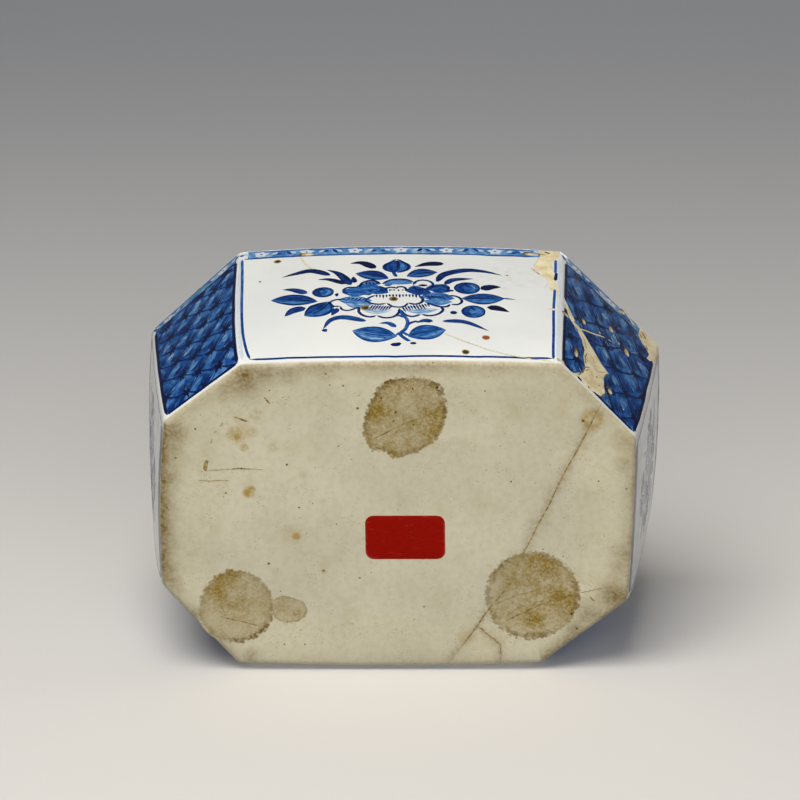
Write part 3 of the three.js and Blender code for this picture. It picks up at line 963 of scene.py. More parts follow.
@dataclass(frozen=True)
class SeamFinish:
    """Old glue and bare clay where the glaze is lost, from beige to dark brown by its load."""

    stops: tuple[tuple[float, Rgb], ...] = (
        (0.0, (0.72, 0.65, 0.47)),
        (0.3, (0.52, 0.395, 0.15)),
        (0.55, (0.21, 0.135, 0.03)),
        (0.8, (0.062, 0.038, 0.006)),
        (1.0, (0.015, 0.010, 0.004)),
    )
    rust: Rgb = (0.30, 0.07, 0.006)
    # The one rusty pit of the front wall: across, up and radius
    rusty_pit: Place = (21.6, 10.3, 1.2)

    def material(self) -> Material:
        """Builds the material."""
        p = Palette("seams_and_chips")
        change = p.clouds(0.8, 4.0, 0.3, 0.7, -0.14, 0.14)
        colour = p.ramp(p.plus(p.attribute("load"), change), self.stops)
        across, up, radius = self.rusty_pit
        at = FORM.surface(FRONT, np.array([across]), np.array([up]))[0]
        rusty = p.spot(tuple(at.tolist()), radius, 0.2)
        colour = p.tint(colour, self.rust, rusty, p.clouds(0.5, 3.0, 0.3, 0.6, 0.55, 0.95))
        p.relief(p.noise(0.5, 3.0), 0.05)
        return p.finish(colour, p.clouds(1.5, 3.0, 0.3, 0.7, 0.5, 0.75))


class Tier(Enum):
    """How far off the glaze a kind of stroke stands, in millimetres. Later kinds cover earlier."""

    WASH = 0.006
    BODY = 0.012
    LINE = 0.018
    DARK = 0.024
    SEAM = 0.032
    CORE = 0.038
    GLINT = 0.044


class Shape(Enum):
    """How a stroke's width changes from its start to its end."""

    EVEN = "even"
    LEAF = "leaf"
    COMMA = "comma"
    BUD = "bud"

    def widths(self, u: Array, length: float, width: float) -> Array:
        """Shares of the full width at shares of the stroke's length."""
        if self is Shape.LEAF:
            return np.sin(math.pi * u) ** 0.85
        if self is Shape.COMMA:
            return np.sin(math.pi * u ** 0.62) ** 0.8
        if self is Shape.BUD:
            return np.sqrt(np.clip(1 - (2 * u - 1) ** 2, 0, 1))
        end = np.minimum(u, 1 - u) * length / max(0.5 * width, 1e-6)
        return np.sqrt(np.clip(end * (2 - np.minimum(end, 1)), 0, 1))


@dataclass(frozen=True)
class Stroke:
    """One touch of the brush: its wall, its line in millimetres across and up, width and load."""

    wall: int
    line: Line
    width: float
    load: float
    shape: Shape = Shape.EVEN
    tier: Tier = Tier.LINE


def dab(wall: int, x: float, z: float, size: Spot, load: float, tier: Tier) -> Stroke:
    """One round touch."""
    return Stroke(wall, ((x - size[0] / 2, z), (x + size[0] / 2, z)), size[1], load, Shape.BUD, tier)


def curve_through(points: Sequence[Spot], count: int) -> Array:
    """A smooth curve through points, as many places evenly spaced along it."""
    p = np.array(points, float)
    if len(p) > 2:
        padded = np.vstack([2 * p[0] - p[1], p, 2 * p[-1] - p[-2]])
        t = np.linspace(0, 1, 12, endpoint=False)[:, None]
        parts = []
        for a, b, c, d in zip(padded, padded[1:], padded[2:], padded[3:]):
            parts.append(0.5 * (2 * b + (c - a) * t + (2 * a - 5 * b + 4 * c - d) * t ** 2
                                + (3 * b - a - 3 * c + d) * t ** 3))
        p = np.vstack([*parts, p[-1:]])
    run = np.concatenate([[0], np.cumsum(np.linalg.norm(np.diff(p, axis=0), axis=1))])
    want = np.linspace(0, run[-1], count)
    return np.column_stack([np.interp(want, run, p[:, 0]), np.interp(want, run, p[:, 1])])


def reach_of(line: Array, turns: Array) -> Array:
    """How far a closed line round the origin lies from it in some directions."""
    return np.interp(turns, np.arctan2(line[:, 1], line[:, 0]), np.hypot(*line.T), period=math.tau)


def length_of(points: Array) -> float:
    """The length of a line."""
    return float(np.linalg.norm(np.diff(np.asarray(points, float), axis=0), axis=1).sum())


class Brush:
    """Lays strokes on the glaze. Each is a copy of one slim closed bar, bent along its own line."""

    # Rings that a bar can have, and how far apart they may stand on a stroke
    ring_counts = (6, 10, 16, 26, 40)
    ring_spacing = 1.1
    # Sides of a bar, and of one for a stroke wider than a fine line
    sides = 4
    wide_sides = 8
    fine_width = 1.0
    # How far a stroke's underside sinks in, its middle stands up, and its height is off by chance
    sink = 0.012
    crown = 0.004
    jitter = 0.0015
    # How far along the bristles' streaks a stroke may start
    streak_start = 500

    def __init__(self, seed: int) -> None:
        """Starts with no bars made yet."""
        self.bars: dict[tuple[int, int], tuple[Array, list[tuple[int, ...]]]] = {}
        self.chance = np.random.default_rng(seed)

    def bar(self, around: int, rings: int) -> tuple[Array, list[tuple[int, ...]]]:
        """A closed bar to bend: each vertex's share along it, place across and height; and its faces."""
        if (around, rings) not in self.bars:
            clear_selection()
            bpy.ops.mesh.primitive_uv_sphere_add(segments=around, ring_count=rings, radius=1)
            bar = bpy.context.object
            points = mesh_points(bar) * MM
            along = np.arccos(np.clip(points[:, 2], -1, 1)) / math.pi
            girth = np.maximum(np.hypot(points[:, 0], points[:, 1]), 1e-9)
            pole = girth < 1e-5
            across = np.where(pole, 0, points[:, 0] / girth)
            height = np.where(pole, 0, points[:, 1] / girth)
            faces = [tuple(face.vertices) for face in bar.data.polygons]
            remove(bar)
            self.bars[around, rings] = (np.column_stack([along, across, height]), faces)
        return self.bars[around, rings]

    def lay(self, name: str, strokes: Sequence[Stroke], material: Material) -> Object:
        """Makes one piece of many strokes.

        Args:
            name: the piece's name.
            strokes: what to lay.
            material: its finish, which reads load, along and aside.

        Returns:
            The piece.
        """
        points, normals, loads, alongs, asides, faces = [], [], [], [], [], []
        total = 0
        for stroke in strokes:
            length = length_of(stroke.line)
            wanted = length / self.ring_spacing
            rings = next((n for n in self.ring_counts if n >= wanted), self.ring_counts[-1])
            around = self.wide_sides if stroke.width > self.fine_width else self.sides
            bar, bar_faces = self.bar(around, rings)
            middle = curve_through(stroke.line, rings + 1)
            way = unit(np.gradient(middle, axis=0) + 1e-12)
            side = right_of(way) * (-1 if stroke.wall == BASE else 1)
            u, v, h = bar.T
            row = np.rint(u * rings).astype(int)
            half = stroke.shape.widths(u, length, stroke.width) * stroke.width / 2
            place = middle[row] + side[row] * (v * half)[:, None]
            lift = np.where(h < -0.1, -self.sink, stroke.tier.value + self.crown * np.maximum(h, 0))
            lift += self.chance.uniform(-self.jitter, self.jitter)
            points.append(FORM.surface(stroke.wall, place[:, 0], place[:, 1], lift))
            normals.append(FORM.normal(stroke.wall, place[:, 0], place[:, 1]))
            loads.append(np.full(len(u), stroke.load))
            alongs.append(u * length + self.chance.uniform(0, self.streak_start))
            asides.append(v)
            faces += [tuple(total + i for i in face) for face in bar_faces]
            total += len(u)
        mesh = bpy.data.meshes.new(name)
        mesh.from_pydata((np.vstack(points) * MM).tolist(), [], faces)
        piece = bpy.data.objects.new(name, mesh)
        bpy.context.collection.objects.link(piece)
        for key, values in (("load", loads), ("along", alongs), ("aside", asides)):
            set_attribute(piece, key, np.concatenate(values))
        piece.data.materials.append(material)
        mesh.shade_smooth()
        mesh.normals_split_custom_set_from_vertices(np.vstack(normals).tolist())
        return piece


class Painter:
    """Collects the strokes of one wall's painting, each a little unsteady."""

    # The height round which a design is drawn out or in
    middle = 29.0

    def __init__(self, wall: int, seed: int, mirrored: bool, scale: Spot) -> None:
        """Sets the wall, the hand's seed and how the design is turned and sized on it."""
        self.wall = wall
        self.chance = np.random.default_rng(seed)
        self.flip = -1.0 if mirrored else 1.0
        self.scale = scale
        self.strokes: list[Stroke] = []

    def place(self, points: Iterable[Spot]) -> Line:
        """Design places on the wall."""
        sx, sz = self.scale
        return tuple((self.flip * x * sx, self.middle + (z - self.middle) * sz) for x, z in points)

    def add(self, points: Iterable[Spot], width: float, load: float, shape: Shape = Shape.EVEN,
            tier: Tier = Tier.LINE) -> None:
        """One stroke through design places."""
        width *= min(self.scale) * self.chance.uniform(0.9, 1.1)
        load = float(np.clip(load + self.chance.normal(0, 0.025), 0, 1))
        self.strokes.append(Stroke(self.wall, self.place(points), width, load, shape, tier))

    def lay(self, line: Array, width: float, load: float, tier: Tier = Tier.LINE) -> None:
        """One stroke through places on the wall, just as given."""
        self.strokes.append(Stroke(self.wall, spots(line), width, load, tier=tier))

    def oval(self, centre: Spot, size: Spot, load: float, tier: Tier) -> None:
        """A round touch."""
        (x, z), (w, h) = centre, size
        self.add([(x - w / 2, z), (x + w / 2, z)], h, load, Shape.BUD, tier)

    def leaf(self, base: Spot, tip: Spot, width: float, bend: float, load: float) -> None:
        """A pointed leaf: its body, one darker half, a light streak, its outline and a vein."""
        a, b = np.array(base), np.array(tip)
        way = b - a
        side = np.array([-way[1], way[0]]) / np.linalg.norm(way)
        middle = (a + b) / 2 + side * bend

        def line(out: float, start: float = 0.0, end: float = 1.0) -> list[Array]:
            """A line beside the middle one, at a share of the leaf's width."""
            points = []
            for share in np.linspace(start, end, 5):
                pull = 2 * share * (1 - share) * (2 * middle - (a + b) / 2)
                on = (1 - share) ** 2 * a + pull + share ** 2 * b
                points.append(on + side * width * out * math.sin(math.pi * share) ** 0.85)
            return points

        self.add(line(0), width, load, Shape.LEAF, Tier.BODY)
        dark = 1 if side[1] > 0 else -1
        self.add(line(0.24 * dark, 0.04, 0.96), width * 0.5, load + 0.14, Shape.LEAF, Tier.BODY)
        self.add(line(-0.27 * dark, 0.25, 0.8), width * 0.13, load - 0.16, Shape.LEAF)
        for out in (-0.46, 0.46):
            self.add(line(out), 0.62, load + 0.26, Shape.LEAF)
        self.add(line(0.03, 0.03, 0.92), 0.55, load + 0.32, Shape.COMMA, Tier.DARK)

    def bud(self, centre: Spot, size: Spot, load: float = 0.54) -> None:
        """A round bud: its body, a broad dark crescent, a light one inside it, and its outline."""
        (x, z), (w, h) = centre, size

        def line(*shares: Spot) -> list[Spot]:
            """Places as shares of the bud's width and height from its centre."""
            return [(x + w * u, z + h * v) for u, v in shares]

        self.oval(centre, size, load, Tier.BODY)
        self.add(line((-0.02, 0.4), (-0.34, 0.04), (-0.04, -0.4)), 2.0, load + 0.16, Shape.LEAF)
        self.add(line((0.1, 0.3), (0.28, 0.0), (0.06, -0.3)), 0.8, load - 0.2, Shape.LEAF)
        turns = np.linspace(0, math.tau, 13)
        rim = line(*((0.46 * math.cos(t), 0.46 * math.sin(t)) for t in turns))
        self.add(rim, 0.5, load + 0.26, Shape.EVEN, Tier.DARK)
        self.add(line((-0.1, 0.42), (0.06, 0.05)), 0.6, load + 0.3, Shape.COMMA, Tier.DARK)

    def comb(self, start: Spot, end: Spot, count: int, length: float, lean: float) -> None:
        """A row of short fine dashes."""
        for x, z in np.linspace(start, end, count):
            reach = length * self.chance.uniform(0.7, 1.15)
            self.add([(x, z), (x + lean * reach, z - reach)], 0.54, 0.78, Shape.COMMA)


@dataclass(frozen=True)
class Spray:
    """The flower spray of a panel: a many-petalled flower between leaves, buds and commas."""

    # Commas: their line, width and load, and how much wider the brush makes them
    comma_swell: float = 1.35
    commas: tuple[Touch, ...] = (
        (((-17.5, 42.6), (-20.4, 44.7), (-23.0, 45.6), (-26.3, 44.3), (-29.9, 42.5)), 1.8, 0.84),
        (((-12.2, 36.9), (-13.9, 40.8), (-15.9, 44.0), (-18.6, 46.0)), 1.9, 0.82),
        (((-13.4, 37.6), (-17.6, 40.3), (-20.8, 40.5)), 1.3, 0.84),
        (((-6.0, 46.2), (-9.5, 49.4), (-12.7, 49.2)), 1.8, 0.97),
        (((-11.3, 38.1), (-11.7, 41.7)), 1.2, 0.86),
        (((11.4, 48.8), (7.3, 48.6), (3.8, 46.9)), 1.7, 0.97),
        (((9.6, 38.4), (11.4, 42.6), (16.5, 45.2), (21.3, 44.9), (26.3, 43.0)), 1.8, 0.8),
        (((11.6, 36.9), (13.7, 39.7), (19.0, 40.6)), 1.5, 0.76),
        (((20.7, 34.7), (23.2, 36.2), (26.0, 36.3)), 2.1, 0.98),
        (((22.1, 25.3), (24.9, 24.9), (27.8, 23.1)), 2.1, 0.96),
        (((10.8, 17.9), (16.5, 17.6), (22.5, 13.4)), 1.3, 0.68),
        (((-8.0, 17.9), (-13.6, 20.0), (-17.0, 18.7), (-18.9, 14.2)), 1.6, 0.7),
        (((-18.8, 14.4), (-18.0, 13.0)), 1.1, 0.74),
        (((-0.6, 14.7), (-2.6, 16.9), (-5.0, 16.7)), 1.3, 0.62),
        (((8.7, 17.7), (6.4, 18.1), (4.4, 16.9)), 1.3, 0.66),
        (((-15.3, 24.8), (-16.8, 20.9)), 1.5, 0.66),
        (((-23.1, 33.0), (-26.8, 35.2), (-29.6, 35.5)), 1.8, 0.72),
        (((-23.3, 25.3), (-26.3, 24.2), (-28.6, 21.2)), 2.2, 0.68),
        (((26.0, 30.3), (29.6, 29.8)), 0.5, 0.75),
        (((-15.2, 31.8), (-16.2, 31.9)), 1.3, 0.86),
        (((13.6, 34.2), (13.0, 33.3)), 0.9, 0.9),
    )
    # Leaves: base, tip, width, bend and load
    leaves: tuple[tuple[Spot, Spot, float, float, float], ...] = (
        ((-20.4, 28.4), (-32.3, 29.9), 5.6, -0.6, 0.52),
        ((-17.4, 28.4), (-23.7, 21.2), 6.0, 1.0, 0.54),
        ((-2.6, 40.2), (-11.2, 43.4), 4.9, -0.6, 0.55),
        ((9.8, 43.9), (1.9, 41.4), 4.5, -0.8, 0.55),
        ((-0.4, 10.6), (-11.6, 13.4), 7.2, 0.4, 0.42),
        ((2.3, 10.3), (11.8, 13.6), 6.9, 0.6, 0.44),
        ((15.8, 29.8), (26.8, 30.3), 5.7, -0.4, 0.5),
    )
    # Buds: centre and size
    buds: tuple[tuple[Spot, Spot], ...] = (
        ((-19.1, 33.4), (5.6, 5.4)),
        ((17.3, 35.3), (6.8, 6.0)),
        ((18.8, 22.9), (6.2, 6.2)),
    )
    # Fine outlines of the petals, and their width and load
    outline_touch: Spot = (0.76, 0.8)
    outlines: tuple[Line, ...] = (
        ((-8.6, 28.4), (-7.2, 30.2), (-5.8, 31.2)),
        ((-8.4, 28.6), (-7.0, 27.0), (-4.6, 26.4), (-3.0, 27.1)),
        ((-3.0, 27.1), (-1.5, 25.3), (0.6, 24.9), (1.9, 25.9), (2.3, 27.2)),
        ((2.3, 27.2), (4.0, 26.4), (5.7, 27.3), (6.1, 29.2), (5.0, 30.9)),
        ((-9.9, 25.2), (-9.9, 22.4), (-8.5, 20.5), (-6.8, 20.0), (-5.5, 20.8)),
        ((-5.5, 20.8), (-3.6, 19.5), (-1.2, 20.0), (0.1, 22.2), (0.2, 24.4)),
        ((0.4, 23.6), (1.7, 21.0), (3.6, 20.1), (5.6, 21.3)),
        ((5.6, 21.3), (7.7, 20.5), (9.9, 21.4), (11.2, 23.6), (10.4, 25.4)),
        ((-13.0, 29.3), (-15.8, 29.2), (-17.4, 27.6), (-16.2, 25.7), (-14.4, 25.8)),
        ((-14.6, 25.6), (-14.2, 24.0), (-12.4, 23.5), (-9.8, 25.3)),
        ((12.6, 31.3), (14.9, 30.5), (16.0, 28.2), (14.9, 26.4), (13.0, 26.6)),
        ((13.0, 26.6), (12.0, 25.2), (9.6, 25.5), (7.2, 27.2)),
        ((-12.9, 31.8), (-14.0, 33.8), (-13.0, 35.6), (-10.2, 35.6)),
        ((-10.0, 35.4), (-9.2, 38.2), (-6.6, 39.4), (-4.5, 37.2)),
        ((-4.3, 37.2), (-2.0, 39.6), (1.6, 39.8), (3.9, 38.0)),
        (
            (3.6, 36.6), (4.6, 39.0), (6.9, 39.3), (8.6, 37.6), (8.0, 34.8), (5.6, 34.0), (3.8, 35.0),
            (3.6, 36.6),
        ),
        ((8.6, 35.4), (10.8, 37.0), (12.6, 35.6), (12.2, 33.0)),
        ((-3.4, 33.2), (-3.2, 34.9), (-1.7, 35.6), (-0.7, 34.9), (-0.2, 35.7), (1.4, 35.5), (2.1, 33.4)),
    )
    # Stems and the foot of the top bud, and their width and load
    stem_touch: Spot = (1.0, 0.6)
    stems: tuple[Line, ...] = (
        ((0.2, 24.0), (0.9, 21.4), (2.2, 18.2), (1.9, 14.6), (0.4, 12.2)),
        ((1.7, 13.6), (2.2, 16.0), (4.0, 17.6), (5.4, 17.6)),
        ((-1.6, 20.2), (0.2, 20.6), (1.6, 19.4)),
        ((2.1, 14.4), (0.4, 11.6), (2.1, 8.8), (3.0, 8.4)),
        ((2.6, 10.6), (0.8, 12.4), (-0.8, 10.8)),
        ((-0.7, 41.2), (-1.1, 42.6), (-1.6, 44.2)),
    )
    # Washes of the petals: their line, width and load
    washes: tuple[Touch, ...] = (
        (((-11.6, 33.2), (-7.6, 34.6), (-4.3, 34.0)), 6.4, 0.56),
        (((-8.6, 33.9), (-5.6, 34.1), (-2.6, 32.4)), 4.6, 0.72),
        (((-14.4, 33.0), (-11.4, 33.2), (-7.8, 32.2)), 4.6, 0.52),
        (((-11.4, 35.4), (-8.6, 35.8), (-6.2, 34.8)), 2.4, 0.66),
        (((1.4, 33.8), (4.4, 33.6), (8.4, 32.2)), 4.4, 0.68),
        (((6.6, 34.8), (9.8, 34.9), (13.0, 33.0)), 4.6, 0.62),
        (((2.4, 35.2), (4.2, 35.0), (6.0, 34.0)), 2.6, 0.58),
        (((4.8, 36.6), (7.4, 36.5)), 1.2, 0.9),
        (((-15.4, 29.2), (-10.9, 28.6), (-6.6, 28.4)), 5.2, 0.34),
        (((-13.4, 27.0), (-10.0, 26.0), (-6.6, 26.6)), 3.4, 0.3),
        (((5.4, 30.4), (9.2, 30.6), (14.2, 29.4)), 4.8, 0.42),
        (((6.0, 28.2), (9.2, 27.6), (13.6, 27.8)), 3.8, 0.32),
        (((-4.4, 37.4), (-0.4, 38.5), (3.6, 37.6)), 2.8, 0.38),
        (((-3.8, 36.6), (-1.6, 36.9)), 1.2, 0.5),
        (((-2.4, 33.2), (-1.6, 34.6)), 0.8, 0.3),
        (((-9.2, 36.6), (-6.8, 38.0), (-4.8, 37.0)), 2.6, 0.4),
        (((-9.0, 23.6), (-5.8, 22.8), (-1.6, 23.4)), 2.8, 0.2),
        (((1.4, 23.6), (5.0, 22.8), (10.0, 23.8)), 2.8, 0.2),
    )
    # Combs of dashes: from, to, how many, length and lean
    combs: tuple[tuple[Spot, Spot, int, float, float], ...] = (
        ((-5.6, 31.6), (5.2, 31.8), 14, 2.0, 0.05),
        ((-6.4, 26.2), (-1.8, 25.6), 8, 2.8, -0.35),
        ((0.9, 25.2), (7.2, 27.0), 10, 2.9, 0.32),
        ((-12.2, 30.0), (-7.4, 29.8), 6, 1.6, -0.7),
        ((-2.3, 34.4), (1.0, 34.3), 4, 1.1, 0.1),
        ((-8.4, 38.4), (-5.6, 38.2), 4, 1.5, 0.2),
        ((6.4, 31.2), (11.4, 31.2), 7, 2.2, 0.9),
    )
    # Dots: centre and size, and their load
    dot_load: float = 0.82
    dots: tuple[tuple[Spot, Spot], ...] = (
        ((13.8, 22.2), (1.9, 1.9)), ((-0.9, 6.8), (2.6, 1.5)), ((-0.2, 7.2), (1.6, 1.2)),
        ((3.5, 7.4), (1.7, 1.0)),
    )
    # The middle of the double bud at the top
    top: Spot = (-0.7, 47.3)

    def paint(self, painter: Painter) -> None:
        """Paints the spray on a wall."""
        for leaf in self.leaves:
            painter.leaf(*leaf)
        for centre, size in self.buds:
            painter.bud(centre, size)
        self.peach(painter, *self.top)
        for line, width, load in self.washes:
            painter.add(line, width, load, Shape.LEAF, Tier.WASH)
        for line in self.outlines:
            painter.add(line, *self.outline_touch)
        for line in self.stems:
            painter.add(line, *self.stem_touch)
        for comb in self.combs:
            painter.comb(*comb)
        for line, width, load in self.commas:
            painter.add(line, width * self.comma_swell, load, Shape.COMMA, Tier.DARK)
        for centre, size in self.dots:
            painter.oval(centre, size, self.dot_load, Tier.DARK)

    def peach(self, painter: Painter, x: float, z: float) -> None:
        """The pointed double bud at the top."""
        painter.add([(x, z - 3.4), (x, z + 3.4)], 3.0, 0.62, Shape.LEAF, Tier.WASH)
        for side, load in ((-1, 0.66), (1, 0.52)):
            body = [(x + side * 0.2, z - 3.7), (x + side * 1.9, z - 0.6), (x + side * 0.2, z + 3.2)]
            painter.add(body, 3.6, load, Shape.LEAF, Tier.BODY)
            edge = [(x, z - 3.8), (x + side * 2.5, z - 2.2), (x + side * 2.9, z + 0.6), (x, z + 4.2)]
            painter.add(edge, 0.75, 0.84)
        painter.add([(x + 1.3, z - 1.6), (x + 1.5, z + 1.4)], 0.9, 0.36, Shape.LEAF)
        fold = [(x + 0.1, z + 3.6), (x + 0.4, z + 0.4), (x, z - 3.4)]
        painter.add(fold, 0.8, 0.86, Shape.COMMA, Tier.DARK)


class FieldBrush:
    """The hand that fills one trellis, and ends each stroke where the field ends."""

    # How finely a stroke is tried against the field's edge, and how far its load is off by chance
    step = 0.5
    load_shake = 0.03

    def __init__(self, trellis: "Trellis") -> None:
        """Takes the trellis's wall and seed."""
        self.trellis = trellis
        self.chance = np.random.default_rng(trellis.seed)
        self.strokes: list[Stroke] = []

    def add(self, points: Sequence[Array], width: float, load: float, shape: Shape, tier: Tier) -> None:
        """One stroke through places of the field, left out where hardly any of it lies inside."""
        line = curve_through(points, max(int(length_of(points) / self.step), 6) + 1)
        held = self.trellis.inside(line)
        if held.sum() > 3:
            line = line[np.flatnonzero(held)[0]:np.flatnonzero(held)[-1] + 1]
            line = curve_through(line[::3], max(len(line) // 4, 3))
            load = float(np.clip(load + self.chance.normal(0, self.load_shake), 0, 1))
            on_wall = self.trellis.on_wall(line)
            self.strokes.append(Stroke(self.trellis.wall, on_wall, width, load, shape, tier))


@dataclass(frozen=True)
class Trellis:
    """The rows of knots and hatching that fill a corner wall.

    Places in it are distances from the long wall's arris and heights.
    """

    wall: int
    seed: int
    # How steeply the rows rise and the hatched lines fall away from the arris, how far apart
    # each lie up the arris, and where they start
    rise: float
    fall: float
    row_pitch: float
    line_pitch: float
    row_start: float
    line_start: float
    # How far from the other arris the field ends, and how far in from its edge the frame stands
    far: float = 1.2
    frame_inset: float = 0.06
    # Numbers of the rows and hatched lines, how far off its place a knot may be by chance, and
    # how far outside the field one still counts
    rows: range = range(-5, 10)
    lines: range = range(-1, 13)
    knot_shake: float = 0.35
    slack: float = 9.0
    # Shares along a row where pale washes stand, and between which it is hatched
    wash_places: tuple[float, ...] = (0.62, 0.78, 0.9)
    hatched: Spot = (-0.16, 0.5)
    hatch_spacing: float = 0.6
    # Petals of a knot's flower, and how far inside the field a knot has a heart
    petals: int = 7
    heart_room: float = 1.4

    def near(self, z: Array) -> Array:
        """How far from the long wall's arris the field starts at each height."""
        side = 0 if self.wall in (FRONT_RIGHT, BACK_LEFT) else 1
        return FORM.margin(self.wall, z)[..., side]

    def knot(self, row: int, line: int) -> Array:
        """Where a row meets a hatched line."""
        low = self.row_start + row * self.row_pitch
        high = self.line_start + line * self.line_pitch
        d = (high - low) / (self.rise + self.fall)
        return np.array([d, low + self.rise * d])

    def inside(self, points: Array, slack: float = 0.0) -> Array:
        """Which points lie in the field."""
        width = FORM.width(self.wall, np.clip(points[:, 1], 0, FORM.height))
        d, z = points.T
        held = (d > self.near(z) - slack) & (d < width - self.far + slack)
        return held & (z > Clay.field_low - slack) & (z < Clay.field_high + slack)

    def on_wall(self, points: Array) -> Line:
        """Places of the field as distances from the wall's middle and heights."""
        sign = 1 if self.wall in (FRONT_RIGHT, BACK_LEFT) else -1
        d, z = points.T
        across = sign * (d - FORM.width(self.wall, np.clip(z, 0, FORM.height)) / 2)
        return tuple(zip(across.tolist(), z.tolist()))

    def paint(self) -> list[Stroke]:
        """All strokes of the corner wall."""
        brush = FieldBrush(self)
        knots = {
            (row, line): self.knot(row, line) + brush.chance.normal(0, self.knot_shake, 2)
            for row in self.rows for line in self.lines
        }
        for (row, line), at in knots.items():
            beside, above = knots.get((row, line + 1)), knots.get((row + 1, line))
            if beside is None or above is None or not self.inside(np.array([at]), self.slack)[0]:
                continue
            self.cell(brush, at, beside - at, above - at)
            self.flower(brush, at)
        self.frame(brush)
        return brush.strokes

    def cell(self, brush: FieldBrush, at: Array, along: Array, over: Array) -> None:
        """The row and the hatched line that leave a knot, and what fills the cell between them.

        Args:
            brush: the hand that lays the strokes.
            at: the knot.
            along: the way to the next knot of the row.
            over: the way to the next knot up the hatched line.
        """
        chance = brush.chance

        def spot(u: float, v: float, shake: float = 0.12) -> Array:
            """A place in the cell, at shares of its two sides, a little off by chance."""
            return at + along * u + over * v + chance.normal(0, shake, 2)

        for u in self.wash_places:
            width, load = chance.uniform(1.5, 2.5), chance.uniform(0.28, 0.44)
            low = chance.uniform(0.1, 0.4)
            wash = [spot(u, low, 0.3), spot(u - 0.04, low + chance.uniform(0.3, 0.5), 0.3)]
            brush.add(wash, width, load, Shape.LEAF, Tier.WASH)
        sag = np.array([0.0, chance.uniform(-0.9, -0.3)])
        shade = [spot(-0.1, 0), spot(0.2, -0.03) + sag * 0.8, spot(0.55, 0.0) + sag]
        brush.add(shade, chance.uniform(1.5, 2.4), 0.74, Shape.LEAF, Tier.BODY)
        row = [spot(0, 0), spot(0.5, 0.0) + sag, spot(1, 0)]
        brush.add(row, chance.uniform(0.42, 0.6), 0.86, Shape.EVEN, Tier.DARK)
        line = [spot(0, 0), spot(0.03, 0.5), spot(0, 1)]
        brush.add(line, chance.uniform(0.34, 0.5), 0.82, Shape.EVEN, Tier.DARK)
        for u in np.arange(*self.hatched, self.hatch_spacing / np.linalg.norm(along)):
            start, end = chance.uniform(0.02, 0.2), chance.uniform(0.55, 0.95)
            hatch = [spot(u, start), spot(u + 0.04, end)]
            width, load = chance.uniform(0.34, 0.5), chance.uniform(0.74, 0.92)
            brush.add(hatch, width, load, Shape.COMMA, Tier.LINE)

    def flower(self, brush: FieldBrush, at: Array) -> None:
        """The small dark flower on a knot: its petals and, well inside the field, its heart."""
        chance = brush.chance
        turns = np.arange(self.petals) * math.tau / self.petals + chance.uniform(0, math.tau)
        for turn in turns + chance.normal(0, 0.15, self.petals):
            way = np.array([math.cos(turn), 1.4 * math.sin(turn)])
            petal = [at - way * 0.4, at + way * chance.uniform(1.5, 2.5)]
            brush.add(petal, chance.uniform(0.6, 0.85), 0.96, Shape.COMMA, Tier.SEAM)
        half = np.array([chance.uniform(1.0, 1.3), chance.uniform(-0.3, 0.5)])
        if self.inside(np.array([at]), -self.heart_room)[0]:
            brush.add([at - half, at + half], chance.uniform(2.0, 2.8), 0.96, Shape.BUD, Tier.SEAM)

    def frame(self, brush: FieldBrush) -> None:
        """The dark lines round the field."""
        inset, count = self.frame_inset, 9
        z = np.linspace(Clay.field_low + inset, Clay.field_high - inset, count)
        shake = np.abs(brush.chance.normal(0, 0.1, count))
        near = self.near(z) + inset
        ends = FORM.width(self.wall, z) - self.far - inset
        brush.add(np.column_stack([near + shake, z]), 1.05, 0.95, Shape.EVEN, Tier.SEAM)
        brush.add(np.column_stack([ends - shake, z]), 0.95, 0.92, Shape.EVEN, Tier.SEAM)
        for level, inward, width in ((0, 1, 0.85), (-1, -1, 0.9)):
            d = np.linspace(near[level], ends[level], count)
            line = np.column_stack([d, z[level] + inward * shake])
            brush.add(line, width, 0.88, Shape.EVEN, Tier.SEAM)


